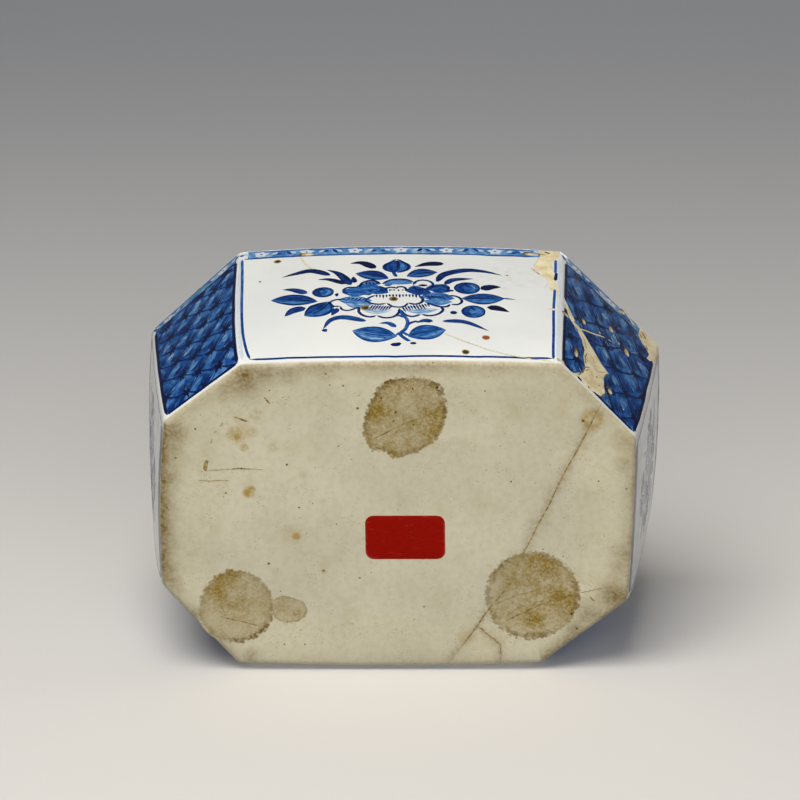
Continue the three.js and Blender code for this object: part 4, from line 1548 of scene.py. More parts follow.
class Dresser:
    """Gives clay pieces what their material reads, their finish and their smooth shading."""

    # How deep the outside's faces may lie, and which share of the rounded lip stays white
    skin = 0.5
    white_lip = 0.8

    def __init__(self) -> None:
        """Makes the finishes once."""
        self.glaze = GlazeFinish().material()
        self.filler = FillerFinish().material()
        self.paint = PaintFinish().material()
        self.seam = SeamFinish().material()
        self.residue = ResidueFinish().material()
        self.paper = PaperFinish().material()

    def fields(self, points: Array) -> Array:
        """1 where a point of the outside lies in a painted ground."""
        wall, across, depth = FORM.locate(points)
        z = points[:, 2]
        inside = np.zeros(len(points))
        for index in range(WALL_COUNT):
            first, last = FORM.margin(index, z).T
            half = FORM.width(index, np.clip(z, 0, FORM.height)) / 2
            held = (across > first - half) & (across < half - last)
            held &= (wall == index) & (depth < self.skin)
            canted = index % 2 == 1
            low = Clay.field_low if canted else Clay.field_high
            inside[held & (z > low) & (z < FORM.height - FORM.lip * self.white_lip)] = 1.0
        return inside

    def stains(self, points: Array) -> tuple[Array, Array]:
        """How dirty the underside is at each point, and how close a break runs."""
        inward = FORM.insets(points[:, :2])
        weight = np.array(GRIME_WEIGHTS)[inward.argmin(1)]
        grime = weight * np.clip(1 - inward.min(1) / GRIME_REACH, 0, 1) ** 1.4
        for x, y, radius, share in GRIME_PATCHES:
            near = np.hypot(points[:, 0] - x, points[:, 1] - y) / radius
            grime = np.maximum(grime, share * np.clip(1 - near, 0, 1) ** 0.8)
        crack = np.full(len(points), np.inf)
        for line in BASE_CRACKS:
            for a, b in zip(np.array(line[:-1]), np.array(line[1:])):
                t = np.clip(((points[:, :2] - a) @ (b - a)) / ((b - a) @ (b - a)), 0, 1)
                gap = np.linalg.norm(points[:, :2] - a - t[:, None] * (b - a), axis=1)
                crack = np.minimum(crack, gap)
        return grime, CRACK_STAIN * np.exp(-crack / CRACK_REACH)

    def stain(self, piece: Object) -> None:
        """Stores the underside's dirt on a piece's vertices."""
        grime, crack = self.stains(mesh_points(piece))
        set_attribute(piece, "grime", grime)
        set_attribute(piece, "crack", crack)

    def dress(self, piece: Object, material: Material, angle: float = 32.0) -> None:
        """Gives a piece its only material and smooth shading."""
        piece.data.materials.clear()
        piece.data.materials.append(material)
        activate(piece)
        bpy.ops.object.shade_smooth_by_angle(angle=math.radians(angle))

    def clay(self, piece: Object) -> None:
        """Glazes one of the glued pieces."""
        self.stain(piece)
        count = len(piece.data.polygons)
        centres = np.zeros(count * 3)
        piece.data.polygons.foreach_get("center", centres)
        set_attribute(piece, "wash", self.fields(centres.reshape(-1, 3) / MM), "FACE")
        self.dress(piece, self.glaze)


# Grime along the base's edges: its strength by wall, and how far in it reaches
GRIME_WEIGHTS = (0.55, 0.4, 0.45, 0.8, 0.2, 0.3, 0.9, 0.4)
GRIME_REACH = 4.2
# The stain along the breaks under the base: its strength, and how fast it fades
CRACK_STAIN = 0.55
CRACK_REACH = 0.9
# Grubby places under the base: x, y, radius and strength
GRIME_PATCHES = (
    (-37.9, -37.7, 7.5, 1.0), (-31.7, -38.9, 5.0, 0.8), (-26.7, -39.0, 4.5, 0.7),
    (-42.1, -35.5, 5.5, 0.65),
    (-55.7, -22.9, 5.5, 0.75), (-58.0, -10.7, 5.0, 0.95), (-56.8, -17.0, 5.5, 0.7), (-58.1, -1.5, 4.5, 0.65),
    (-58.4, 7.7, 4.5, 0.6), (-17.3, -38.5, 3.0, 0.4), (55.0, 22.6, 6.0, 0.95), (49.1, 27.7, 5.5, 0.9),
    (44.9, 31.5, 3.5, 0.9), (56.6, 14.3, 4.5, 0.65), (57.0, 10.6, 4.5, 0.65), (57.2, -20.4, 4.5, 0.65),
    (57.2, -14.1, 4.0, 0.55), (-51.3, 26.9, 2.8, 0.65), (-58.1, 14.1, 3.5, 0.75), (-57.4, 18.0, 3.5, 0.75),
    (-56.2, 19.6, 2.6, 0.65), (-37.8, 39.2, 3.0, 0.65),
)

TIP = tuple(base_spot(BREAK_BASE[-1]))
MAIN_CRACK = (*(tuple(base_spot(p)) for p in BREAK_BASE), (12.1, 40.2))
BRANCH_CRACK = (TIP, tuple(base_spot(FLOOR_SHARD_CORNER)), (25.5, 40.4))
BASE_CRACKS = (MAIN_CRACK, BRANCH_CRACK)
# How far back the breaks' lines run under the base, how unsteady they are, their places, and
# their width and load
BASE_EDGE = 39.4
CRACK_SHAKE = 0.16
CRACK_PLACES = 15
CRACK_TOUCH = (0.34, 0.44)


@dataclass
class Studio:
    """Pale floors, soft light and the view of the photograph."""

    floor_size: float = 6.0
    # How far the photograph's floor is turned up from level, in degrees
    floor_lean: float = 83.9
    ambient: float = 0.065
    # Heights over which the floor darkens to its far colour as painted shade, and how matt it is
    shade_falloff: Spot = (-150.0, 900.0)
    roughness: float = 0.9
    # The floor's near colour, and its far colour, darker as painted shade of the light falling off
    near: Rgb = (0.74, 0.705, 0.655)
    far: Rgb = (0.40, 0.405, 0.42)
    plain: Rgb = (0.78, 0.775, 0.76)
    # Lamps: name, place in metres, size and power
    lamps: tuple[tuple[str, Place, float, float], ...] = (
        ("key", (-0.25, -1.25, -0.5), 0.9, 17.3),
        ("front", (0.1, -0.65, -1.4), 1.1, 13.0),
        ("top", (0.1, 0.3, 1.5), 1.0, 12.0),
        ("back", (0.3, 1.5, 0.1), 1.2, 7.0),
        ("left", (-1.5, 0.2, 0.1), 1.0, 0.8),
        ("right", (1.5, 0.2, 0.1), 1.0, 0.8),
    )

    def floor_material(self, name: str, gradient: bool) -> Material:
        """A matt floor seen only from its front that lights nothing; where asked, it darkens far off as
        painted shade.
        """
        p = Palette(name)
        # The gradient is painted shade: the colour darkens from near to far
        if gradient:
            colour = p.mix(p.span(p.z, *self.shade_falloff), self.near, self.far)
        else:
            colour = self.plain
        p.finish(colour, self.roughness, specular_ior_level=0.0)
        light = p.node("ShaderNodeLightPath")
        seen = p.plus(light.outputs["Is Camera Ray"], light.outputs["Is Glossy Ray"])
        seen = p.plus(seen, light.outputs["Is Transmission Ray"])
        side = p.node("ShaderNodeNewGeometry").outputs["Backfacing"]
        share = p.times(seen, p.math("SUBTRACT", 1.0, side))
        clear = p.node("ShaderNodeBsdfTransparent")
        mix = p.node("ShaderNodeMixShader", {0: share, 1: clear.outputs[0], 2: p.shader.outputs[0]})
        p.tree.links.new(mix.outputs[0], p.out.inputs[0])
        return p.material

    def floor(self, name: str, at: Place, turn: Place, gradient: bool) -> None:
        """A big flat floor through a point in millimetres, its front side along its own Z."""
        bpy.ops.mesh.primitive_plane_add(size=self.floor_size, location=Vector(at) * MM, rotation=turn)
        plane = bpy.context.object
        plane.name = name
        bpy.ops.object.transform_apply(location=True, rotation=True, scale=True)
        plane.data.materials.append(self.floor_material(name, gradient))

    def lamp(self, name: str, at: Place, size: float, power: float) -> None:
        """A soft square lamp in metres that looks at the tub."""
        data = bpy.data.lights.new(name, "AREA")
        data.size = size
        data.energy = power
        lamp = bpy.data.objects.new(name, data)
        aim = -Vector(at)
        turn = aim.to_track_quat("-Z", "Y").to_matrix().to_4x4()
        lamp.matrix_world = Matrix.Translation(Vector(at)) @ turn
        bpy.context.collection.objects.link(lamp)

    def build(self) -> None:
        """Makes the floors, the lamps, the ambient light and the camera."""
        clear_selection()
        rim = FORM.rim_size[1] / 2 + FORM.bows[BACK][1]
        lean = math.radians(self.floor_lean)
        # This floor darkens far off as painted shade
        self.floor("photo_floor", (0, rim + 0.1, FORM.height), (lean, 0, 0), True)
        clear_selection()
        self.floor("standing_floor", (0, 0, -0.02), (0, 0, 0), False)
        for lamp in self.lamps:
            self.lamp(*lamp)
        world = bpy.data.worlds.new("soft_room")
        world.use_nodes = True
        background = world.node_tree.nodes["Background"]
        background.inputs[0].default_value = (1.0, 1.0, 1.0, 1.0)
        background.inputs[1].default_value = self.ambient
        bpy.context.scene.world = world
        Viewpoint().build()


@dataclass(frozen=True)
class Viewpoint:
    """Where the photograph was taken from: degrees against the tub's own axis, and millimetres."""

    tilt: float = 23.123
    yaw: float = -1.716
    roll: float = -0.131
    right: float = 0.721
    up: float = 28.982
    distance: float = 1100.0
    lens: float = 198.0
    sensor: float = 36.0
    # The nearest and farthest that it sees, in metres
    sight: Spot = (0.01, 20.0)

    def place(self) -> Matrix:
        """The camera's place and directions."""
        tilt, yaw, roll = (math.radians(a) for a in (self.tilt, self.yaw, self.roll))
        ahead = Vector((0, math.sin(tilt), math.cos(tilt)))
        up = Vector((0, -math.cos(tilt), math.sin(tilt)))
        side = Vector((1, 0, 0))
        ahead, side = (
            ahead * math.cos(yaw) + side * math.sin(yaw),
            side * math.cos(yaw) - ahead * math.sin(yaw),
        )
        side, up = side * math.cos(roll) + up * math.sin(roll), up * math.cos(roll) - side * math.sin(roll)
        spot = (side * self.right + up * self.up - ahead * self.distance) * MM
        return Matrix.Translation(spot) @ Matrix((side, up, -ahead)).transposed().to_4x4()

    def build(self) -> None:
        """Makes the camera."""
        data = bpy.data.cameras.new("view")
        data.lens = self.lens
        data.sensor_width = self.sensor
        data.clip_start, data.clip_end = self.sight
        camera = bpy.data.objects.new("view", data)
        camera.matrix_world = self.place()
        bpy.context.collection.objects.link(camera)
        bpy.context.scene.camera = camera


@dataclass(frozen=True)
class PanelFrame:
    """The thin lines round a panel: up its sides, along its foot and under its rim band."""

    heights: tuple[float, ...] = (Clay.field_high, 40.0, 25.0, 14.0, 6.0, 2.0)
    # Sides, and how far in from the arris each one's line stands at these heights. It ends a
    # little below the foot line, which reaches past it as far as the top line does
    sides: tuple[tuple[int, tuple[float, ...]], ...] = (
        (-1, (0.8, 1.0, 1.2, 1.3, 1.8, 2.4)),
        (1, (1.4, 1.5, 1.6, 1.7, 1.6, 1.6)),
    )
    foot_drop: float = 0.25
    overlap: float = 0.3
    # Widths of the lines of a long wall and of an end, and their sides' darker part's share of it
    long_width: float = 0.72
    end_width: float = 0.55
    lower_share: float = 0.6
    # Width and load of a long wall's bluish strip outside the lines, and how far in it stands
    strip: Spot = (0.9, 0.065)
    strip_gap: float = 0.5
    # Loads of the sides' lines, of their darker lower part, and of the level lines below and above
    side_load: float = 0.52
    lower_load: float = 0.66
    level_loads: tuple[tuple[int, float], ...] = ((-1, 0.72), (0, 0.56))
    # Width and load of an end's foot line
    end_foot: Spot = (2.6, 0.9)
    shake: float = 0.08

    def paint(self, painter: Painter) -> None:
        """Paints the frame on the painter's wall."""
        z = np.array(self.heights)
        half = FORM.width(painter.wall, z) / 2
        long_wall = painter.wall in (FRONT, BACK)
        wide = self.long_width if long_wall else self.end_width
        for side, gaps in self.sides:
            side *= painter.flip
            if long_wall:
                painter.lay(np.column_stack([side * (half - self.strip_gap), z]), *self.strip, Tier.WASH)
            line = np.column_stack([side * (half - gaps), z])
            line[-1, 1] -= self.foot_drop
            line[1:-1, 0] += painter.chance.normal(0, self.shake, 4)
            painter.lay(line, wide, self.side_load)
            painter.lay(line[2:], wide * self.lower_share, self.lower_load, Tier.DARK)
        for at, load in self.level_loads:
            ends = [side * (half[at] - gaps[at] + self.overlap) for side, gaps in self.sides]
            across = np.linspace(*ends, 24) * painter.flip
            line = np.column_stack([across, z[at] + painter.chance.normal(0, self.shake, 24)])
            width, load = self.end_foot if at < 0 and not long_wall else (wide, load)
            painter.lay(line, width, load)


@dataclass(frozen=True)
class Border:
    """White florets kept free in the blue band under the rim, and small darker marks between."""

    height: float = 56.9
    top_line: float = 58.55
    # How far from the arrises the florets end, and about how far apart they stand
    end_gap: float = 3.5
    pitch: float = 10.5
    petals: int = 5

    def paint(self, wall: int, seed: int) -> list[Stroke]:
        """All strokes of one wall's band."""
        chance = np.random.default_rng(seed)
        z = self.height
        half = float(FORM.width(wall, np.array([z]))[0]) / 2 - self.end_gap
        across = np.linspace(-half - 1.5, half + 1.5, 24)
        line = spots(np.column_stack([across, self.top_line + chance.normal(0, 0.05, 24)]))
        strokes = [Stroke(wall, line, 0.6, 0.46)]
        for x in np.linspace(-half + 2.5, half - 2.5, max(round(2 * half / self.pitch), 2)):
            x += chance.normal(0, 0.4)
            turns = np.arange(self.petals) * math.tau / self.petals + chance.uniform(0, 1)
            for c, s in zip(np.cos(turns), np.sin(turns)):
                line = ((x + c * 0.2, z + s * 0.2), (x + c * 2.1, z + s * 1.6))
                strokes.append(Stroke(wall, line, 1.5, 0.05, Shape.COMMA, Tier.BODY))
            strokes.append(dab(wall, x, z, (0.7, 0.6), 0.7, Tier.DARK))
            for side in (-1, 1):
                at = x + side * chance.uniform(2.6, 3.2)
                line = ((at, z - 0.4), (at + side * 1.6, z + 0.8))
                strokes.append(Stroke(wall, line, 1.2, 0.1, Shape.LEAF, Tier.BODY))
                start = (at + side * 1.2, z + chance.uniform(-1.4, 0))
                end = (at + side * 2.6, z + chance.uniform(-0.5, 1.4))
                load = chance.uniform(0.55, 0.75)
                strokes.append(Stroke(wall, (start, end), 1.0, load, Shape.LEAF))
        return strokes


def inside_outline(points: Array, outline: Sequence[Spot]) -> Array:
    """Which points lie inside an outline."""
    x, y = points.T
    held = np.zeros(len(points), bool)
    for (ax, ay), (bx, by) in zip(outline, (*outline[1:], outline[0])):
        if ay != by:
            crosses = ((ay > y) != (by > y)) & (x < (bx - ax) * (y - ay) / (by - ay) + ax)
            held ^= crosses
    return held


def clear_of_fills(strokes: Iterable[Stroke], step: float = 0.4) -> list[Stroke]:
    """The strokes without what the restorer's fills took away, tried at every step along them."""
    kept = []
    for stroke in strokes:
        fills = [fill for fill in FILLS if fill.wall == stroke.wall]
        count = max(int(length_of(stroke.line) / step), 6) + 1
        line = curve_through(stroke.line, count)
        share = line[:, 0] / FORM.width(stroke.wall, np.clip(line[:, 1], 0, FORM.height)) + 0.5
        shares = np.column_stack([share, line[:, 1] / FORM.height])
        if not any(inside_outline(shares, fill.outline).any() for fill in fills):
            kept.append(stroke)
            continue
        lost = np.any([inside_outline(shares, fill.outline) for fill in fills], axis=0)
        runs = np.split(np.arange(count), np.flatnonzero(np.diff(lost.astype(int))) + 1)
        for run in runs:
            if not lost[run[0]] and len(run) > 3:
                part = spots(line[run[::3] if len(run) > 8 else run[[0, -1]]])
                kept.append(Stroke(stroke.wall, part, stroke.width, stroke.load, tier=stroke.tier))
    return kept


# Brown pits in the glaze: wall, across, up and radius
PITS = (
    (FRONT, -31.4, 52.0, 1.0), (FRONT, -8.4, 24.6, 1.25), (FRONT, -1.3, 29.2, 1.2),
    (FRONT, 21.6, 10.3, 1.0), (FRONT, 16.3, 3.8, 1.0), (FRONT, -35.4, 40.7, 0.35),
    (FRONT, 27.5, 43.0, 0.3), (BACK, 18.0, 12.0, 0.9), (BACK, -24.0, 47.0, 0.8),
    (LEFT_END, 6.0, 20.0, 0.7), (FRONT_LEFT, 4.0, 30.0, 0.3),
)
# Chips through the glaze, by wall, bare in the middle and browned at one side: across, up,
# width and height
CHIPS = (
    (FRONT, ((-23.5, 55.3, 4.2, 1.8), (33.3, 56.2, 3.4, 1.8))),
    (FRONT_RIGHT, (
        (-8.2, 30.9, 1.7, 2.6), (1.3, 41.2, 1.8, 3.0), (4.8, 58.2, 1.8, 2.2), (7.3, 36.7, 2.0, 3.6),
        (-9.3, 11.1, 1.5, 4.0), (3.0, 8.7, 2.0, 2.6), (-14.4, 25.5, 2.4, 1.6), (8.2, 6.6, 0.6, 0.8),
        (-2.6, 33.4, 1.0, 1.0), (4.2, 37.6, 0.8, 1.6),
    )),
    (FRONT_LEFT, ((2.0, 59.0, 3.0, 0.7),)),
    (BACK, ((30.0, 57.0, 3.0, 1.2),)),
    (LEFT_END, ((-9.0, 58.4, 2.4, 0.9),)),
)
# The dabs of a pit, a speck and a chip, one over the other. For the first two: shift to the
# right, width, height and load, the lengths as shares of the radius. For a chip: shift to the
# right and down and size as shares of its own size, and load
PIT_DABS = (
    (0.0, 2.1, 2.0, 0.42, Tier.SEAM),
    (0.0, 1.7, 1.5, 0.72, Tier.CORE),
    (0.1, 1.0, 0.9, 1.0, Tier.GLINT),
)
SPECK_DABS = (
    (0.0, 1.6, 1.4, 0.5, Tier.SEAM),
    (0.1, 0.95, 0.85, 0.8, Tier.CORE),
)
CHIP_DABS = (
    (-0.12, 1.0, 0.72, Tier.SEAM),
    (0.02, 0.82, 0.3, Tier.CORE),
    (0.12, 0.5, -0.1, Tier.GLINT),
)
# How finely a seam is drawn, and how unsteady it is
SEAM_STEP = 1.2
SEAM_SHAKE = 0.06
# Old glue and filler over the breaks and hairlines, by surface: line, width and load
SEAMS: tuple[tuple[int, tuple[Touch, ...]], ...] = (
    (FRONT, (
        (((11.2, 12.0), (17.0, 7.9), (23.4, 4.2), (30.8, 1.9), (37.6, 0.9)), 0.32, 0.2),
        (((-25.7, 53.8), (-24.2, 50.0), (-22.4, 46.6)), 0.5, 0.1),
        (((37.2, 25.6), (38.8, 25.4), (40.4, 25.7)), 0.9, 0.03),
        (((39.4, 40.2), (40.2, 37.4), (40.4, 33.0)), 0.7, 0.05),
    )),
    (FRONT_RIGHT, (
        (((-10.0, 24.1), (-7.6, 26.8), (-5.3, 28.8), (-2.8, 31.4), (-0.6, 33.6)), 0.5, 0.08),
        (((0.4, 34.2), (1.8, 34.8)), 0.4, 0.2),
        (((-16.6, 30.0), (-15.2, 29.0), (-13.6, 28.6)), 0.8, 0.04),
        (((5.4, 59.9), (7.4, 58.2), (9.5, 57.2)), 0.7, 0.04),
        (((-15.0, 1.3), (-13.2, 1.9), (-11.4, 1.4)), 0.9, 0.06),
        (((2.0, 16.5), (1.1, 14.4), (0.7, 12.6)), 0.35, 0.62),
        (((-5.8, 16.2), (-6.3, 13.4), (-5.7, 10.4)), 0.35, 0.6),
        (((-5.8, 9.0), (-6.4, 6.2), (-7.6, 2.6)), 0.3, 0.66),
        (((-8.8, 23.4), (-7.2, 21.2), (-6.2, 18.0)), 0.25, 0.5),
        (((0.6, 2.4), (1.4, 4.0), (1.5, 5.8)), 0.3, 0.6),
        (((-4.6, 17.6), (-3.2, 15.2), (-2.6, 12.0)), 0.5, 0.14),
        (((-2.6, 12.4), (-0.6, 13.6), (0.6, 15.4)), 0.26, 0.34),
        (((11.6, 57.4), (12.6, 56.6), (13.4, 55.2)), 0.7, 0.68),
        (((13.6, 52.0), (14.2, 50.2), (14.0, 48.6)), 0.5, 0.5),
        (((11.2, 55.0), (12.0, 53.4)), 0.6, 0.56),
        (((-6.8, 7.3), (-5.6, 9.2), (-4.3, 10.8)), 0.32, 0.52),
        (((-5.7, 7.3), (-4.4, 10.0)), 0.28, 0.4),
        (((-5.8, 4.1), (-4.4, 4.5), (-2.7, 4.5)), 0.26, 0.28),
        (((-6.6, 3.4), (-5.0, 3.2), (-3.4, 3.6)), 0.22, 0.26),
        (((-6.3, 13.3), (-5.6, 12.9), (-5.2, 12.2)), 0.34, 0.5),
        (((-1.9, 9.8), (-1.5, 9.3)), 0.8, 0.5),
        (((-0.9, 6.6), (-0.5, 6.3)), 0.7, 0.62),
        (((-4.0, 1.9), (-3.4, 1.9)), 0.7, 0.7),
    )),
    (FRONT, (
        (((34.0, 55.6), (35.6, 56.6), (37.6, 56.2)), 0.6, 0.46),
        (((37.2, 58.2), (38.6, 57.2)), 0.7, 0.66),
        (((33.4, 48.2), (34.6, 46.2), (36.0, 44.2)), 0.5, 0.3),
    )),
    (BASE, (
        (((-40.3, -27.0), (-38.4, -26.4), (-36.4, -25.6)), 0.5, 0.42),
        (((-32.5, -32.3), (-31.7, -31.3), (-30.9, -30.5)), 0.45, 0.44),
        (((-42.8, -25.6), (-43.6, -24.4)), 0.28, 0.4),
        (((-44.6, -23.2), (-45.0, -22.5)), 0.28, 0.4),
        (((-45.6, -21.0), (-46.1, -19.7)), 0.28, 0.36),
        (((-47.2, -15.4), (-47.6, -13.8), (-47.5, -12.2)), 1.0, 0.46),
        (((-46.9, -12.4), (-41.5, -12.7), (-35.7, -12.7), (-32.8, -12.5)), 0.2, 0.36),
        (((-41.5, -12.7), (-38.7, -12.9), (-35.9, -12.7)), 0.3, 0.5),
        (((-49.7, -9.7), (-46.6, -9.7), (-41.6, -9.5)), 0.2, 0.36),
        (((24.3, 24.7), (29.0, 22.6), (34.0, 21.0), (39.0, 18.9)), 0.3, 0.46),
        (((26.8, 29.4), (31.9, 26.8), (36.5, 24.5), (41.5, 22.6), (45.3, 21.5)), 0.42, 0.5),
        (((45.3, 21.5), (50.8, 20.3), (56.0, 19.2)), 0.18, 0.38),
        (((27.5, 27.6), (33.0, 25.2), (40.0, 21.8)), 0.22, 0.42),
        (((-5.5, -20.8), (-2.2, -22.7), (1.0, -24.3), (4.0, -25.7), (8.5, -27.3)), 0.32, 0.5),
        (((-45.4, 27.7), (-41.4, 28.9), (-37.9, 29.9), (-35.0, 30.7)), 0.28, 0.46),
        (((48.2, 22.4), (48.9, 23.4), (49.8, 23.6)), 0.35, 0.52),
    )),
)
# Dark specks under the base: x, y and radius
SPECKS = (
    (-38.7, -12.9, 0.4), (-27.3, -13.9, 0.42), (-42.7, -6.2, 0.36), (-24.5, -2.2, 0.34), (-14.4, -18.9, 0.3),
    (-54.9, -16.0, 0.36), (-31.1, -34.1, 0.3), (-17.1, -38.6, 0.4), (-21.1, -3.3, 0.22), (-49.8, -23.8, 0.36),
    (-15.2, 2.4, 0.26), (28.5, -9.2, 0.36), (50.3, -9.4, 0.34), (57.2, -7.3, 0.34), (33.1, 29.1, 0.4),
    (43.6, 27.2, 0.6), (43.8, 18.4, 0.44), (46.4, -25.8, 0.6), (-32.5, 13.3, 0.42), (-18.7, 15.3, 0.36),
    (-29.1, 35.7, 0.3), (-23.9, 35.7, 0.3), (-29.7, 21.0, 0.24), (-3.5, -32.0, 0.5), (0.0, -28.1, 0.5),
    (-0.6, -25.7, 0.46), (4.3, -24.7, 0.5), (10.3, -34.9, 0.62), (12.1, -29.6, 0.44), (4.3, -34.5, 0.4),
    (-9.4, -29.2, 0.52), (4.5, -35.6, 0.34), (44.9, 31.4, 0.5), (36.4, 9.4, 0.26), (41.5, 11.4, 0.24),
)


def seam_lines(chance: np.random.Generator) -> list[Stroke]:
    """The glue lines and hairlines, and the stained breaks under the base up to its edge."""
    strokes = []
    for wall, touches in SEAMS:
        for line, width, load in touches:
            points = curve_through(line, max(int(length_of(line) / SEAM_STEP), 3) + 1)
            points[1:-1] += chance.normal(0, SEAM_SHAKE, (len(points) - 2, 2))
            strokes.append(Stroke(wall, spots(points), width, load, tier=Tier.SEAM))
    for line in BASE_CRACKS:
        points = curve_through(line, CRACK_PLACES)
        points[1:-1] += chance.normal(0, CRACK_SHAKE, (CRACK_PLACES - 2, 2))
        held = spots(points[points[:, 1] < BASE_EDGE])
        strokes.append(Stroke(BASE, held, *CRACK_TOUCH, tier=Tier.SEAM))
    return strokes


def seam_strokes() -> list[Stroke]:
    """The seams, chips and pits on the outside, and the stained breaks and marks under the base."""
    chance = np.random.default_rng(SEAM_SEED)
    strokes = seam_lines(chance)
    marks = [(mark, PIT_DABS) for mark in PITS] + [((BASE, *mark), SPECK_DABS) for mark in SPECKS]
    for (wall, x, z, radius), dabs in marks:
        for shift, w, h, load, tier in dabs:
            strokes.append(dab(wall, x + shift * radius, z, (w * radius, h * radius), load, tier))
    for wall, chips in CHIPS:
        for x, z, w, h in chips:
            for shift, share, load, tier in CHIP_DABS:
                dx, dz = chance.normal(0, 0.05, 2) * (w, h)
                centre = (x + shift * w + dx, z - shift * h + dz)
                strokes.append(dab(wall, *centre, (w * share, h * share), load, tier))
    return strokes


@dataclass(frozen=True)
class Film:
    """Something thin that sticks under the hollow base."""

    node: str
    centre: Spot
    thickness: float
    steps: int = 6
    # Share of the thickness that is left at the outline, and how far the film goes into the glaze
    thin_edge: float = 0.3
    sink: float = 0.02

    def outline(self) -> Array:
        """The outline round the centre, counter-clockwise."""
        raise NotImplementedError

    def cover(self, piece: Object, plan: Array, turn: Array) -> None:
        """Stores what else the finish reads."""

    def build(self, material: Material, dresser: Dresser) -> Object:
        """Makes the film and its finish."""
        outline = self.outline()
        shares = (np.arange(self.steps) + 1) / self.steps
        lifts = [self.thickness] * (self.steps - 1) + [self.thickness * self.thin_edge]
        levels = [*zip(shares, lifts), *((share, -self.sink) for share in reversed(shares))]
        rings = []
        for share, lift in levels:
            plan = outline * share + self.centre
            rings.append(FORM.surface(BASE, plan[:, 0], plan[:, 1], lift))
        piece = loft("film_" + self.node, rings)
        plan = mesh_points(piece)[:, :2] - self.centre
        turn = np.arctan2(plan[:, 1], plan[:, 0])
        set_attribute(piece, "reach", np.linalg.norm(plan, axis=1) / reach_of(outline, turn))
        self.cover(piece, plan, turn)
        dresser.stain(piece)
        dresser.dress(piece, material)
        return piece


@dataclass(frozen=True)
class Residue(Film):
    """What is left of a round felt pad."""

    thickness: float = 0.012
    steps: int = 16
    size: Spot = (1.0, 1.0)
    # Waves of the outline: how many round it, their share of the radius and their start
    waves: tuple[tuple[int, float, float], ...] = ()
    # Or places on the outline, from the centre
    corners: Line = ()
    density: float = 0.5
    # Denser or thinner patches: x and y from the centre, radius and change
    patches: tuple[tuple[float, float, float, float], ...] = ()
    # Arcs of the dark rim: its middle in degrees, how far it reaches to each side, and its
    # strength, and the rim's strength elsewhere
    arcs: tuple[Place, ...] = ()
    rim: float = 0.34
    margin: float = 1.03

    def outline(self) -> Array:
        """An oval whose edge waves in and out, or a line of its own, a little larger than the mark."""
        turns = np.linspace(0, math.tau, 96, endpoint=False)
        if self.corners:
            line = curve_through((*self.corners[-2:], *self.corners, *self.corners[:2]), 400)
            swell = reach_of(line, turns)
        else:
            swell = 1 + sum(size * np.sin(count * turns + start) for count, size, start in self.waves)
        swell = self.margin * swell
        return np.column_stack([np.cos(turns) * swell, np.sin(turns) * swell]) * self.size

    def cover(self, piece: Object, plan: Array, turn: Array) -> None:
        """Stores how densely the adhesive covers the glaze and how dark its rim is."""
        density = np.full(len(plan), self.density)
        for x, y, radius, change in self.patches:
            density += change * np.exp(-(np.hypot(plan[:, 0] - x, plan[:, 1] - y) / radius) ** 2)
        rim = np.full(len(plan), self.rim)
        for middle, reach, strength in self.arcs:
            away = np.abs((np.degrees(turn) - middle + 180) % 360 - 180)
            rim = np.maximum(rim, strength * np.clip(1.4 - away / reach, 0, 1))
        set_attribute(piece, "cover", np.clip(density, 0, 1))
        set_attribute(piece, "rim", rim)


@dataclass(frozen=True)
class Label(Film):
    """The red paper label, bare of any lettering."""

    length: float = 20.0
    width: float = 12.0
    corner: float = 2.1

    def outline(self) -> Array:
        """A rectangle with round corners."""
        a, b, r = self.length / 2 - self.corner, self.width / 2 - self.corner, self.corner
        points = []
        for i, (sx, sy) in enumerate(((1, 1), (-1, 1), (-1, -1), (1, -1))):
            for turn in np.linspace(i, i + 1, 7) * math.pi / 2:
                points.append((sx * a + r * math.cos(turn), sy * b + r * math.sin(turn)))
        return np.array(points)


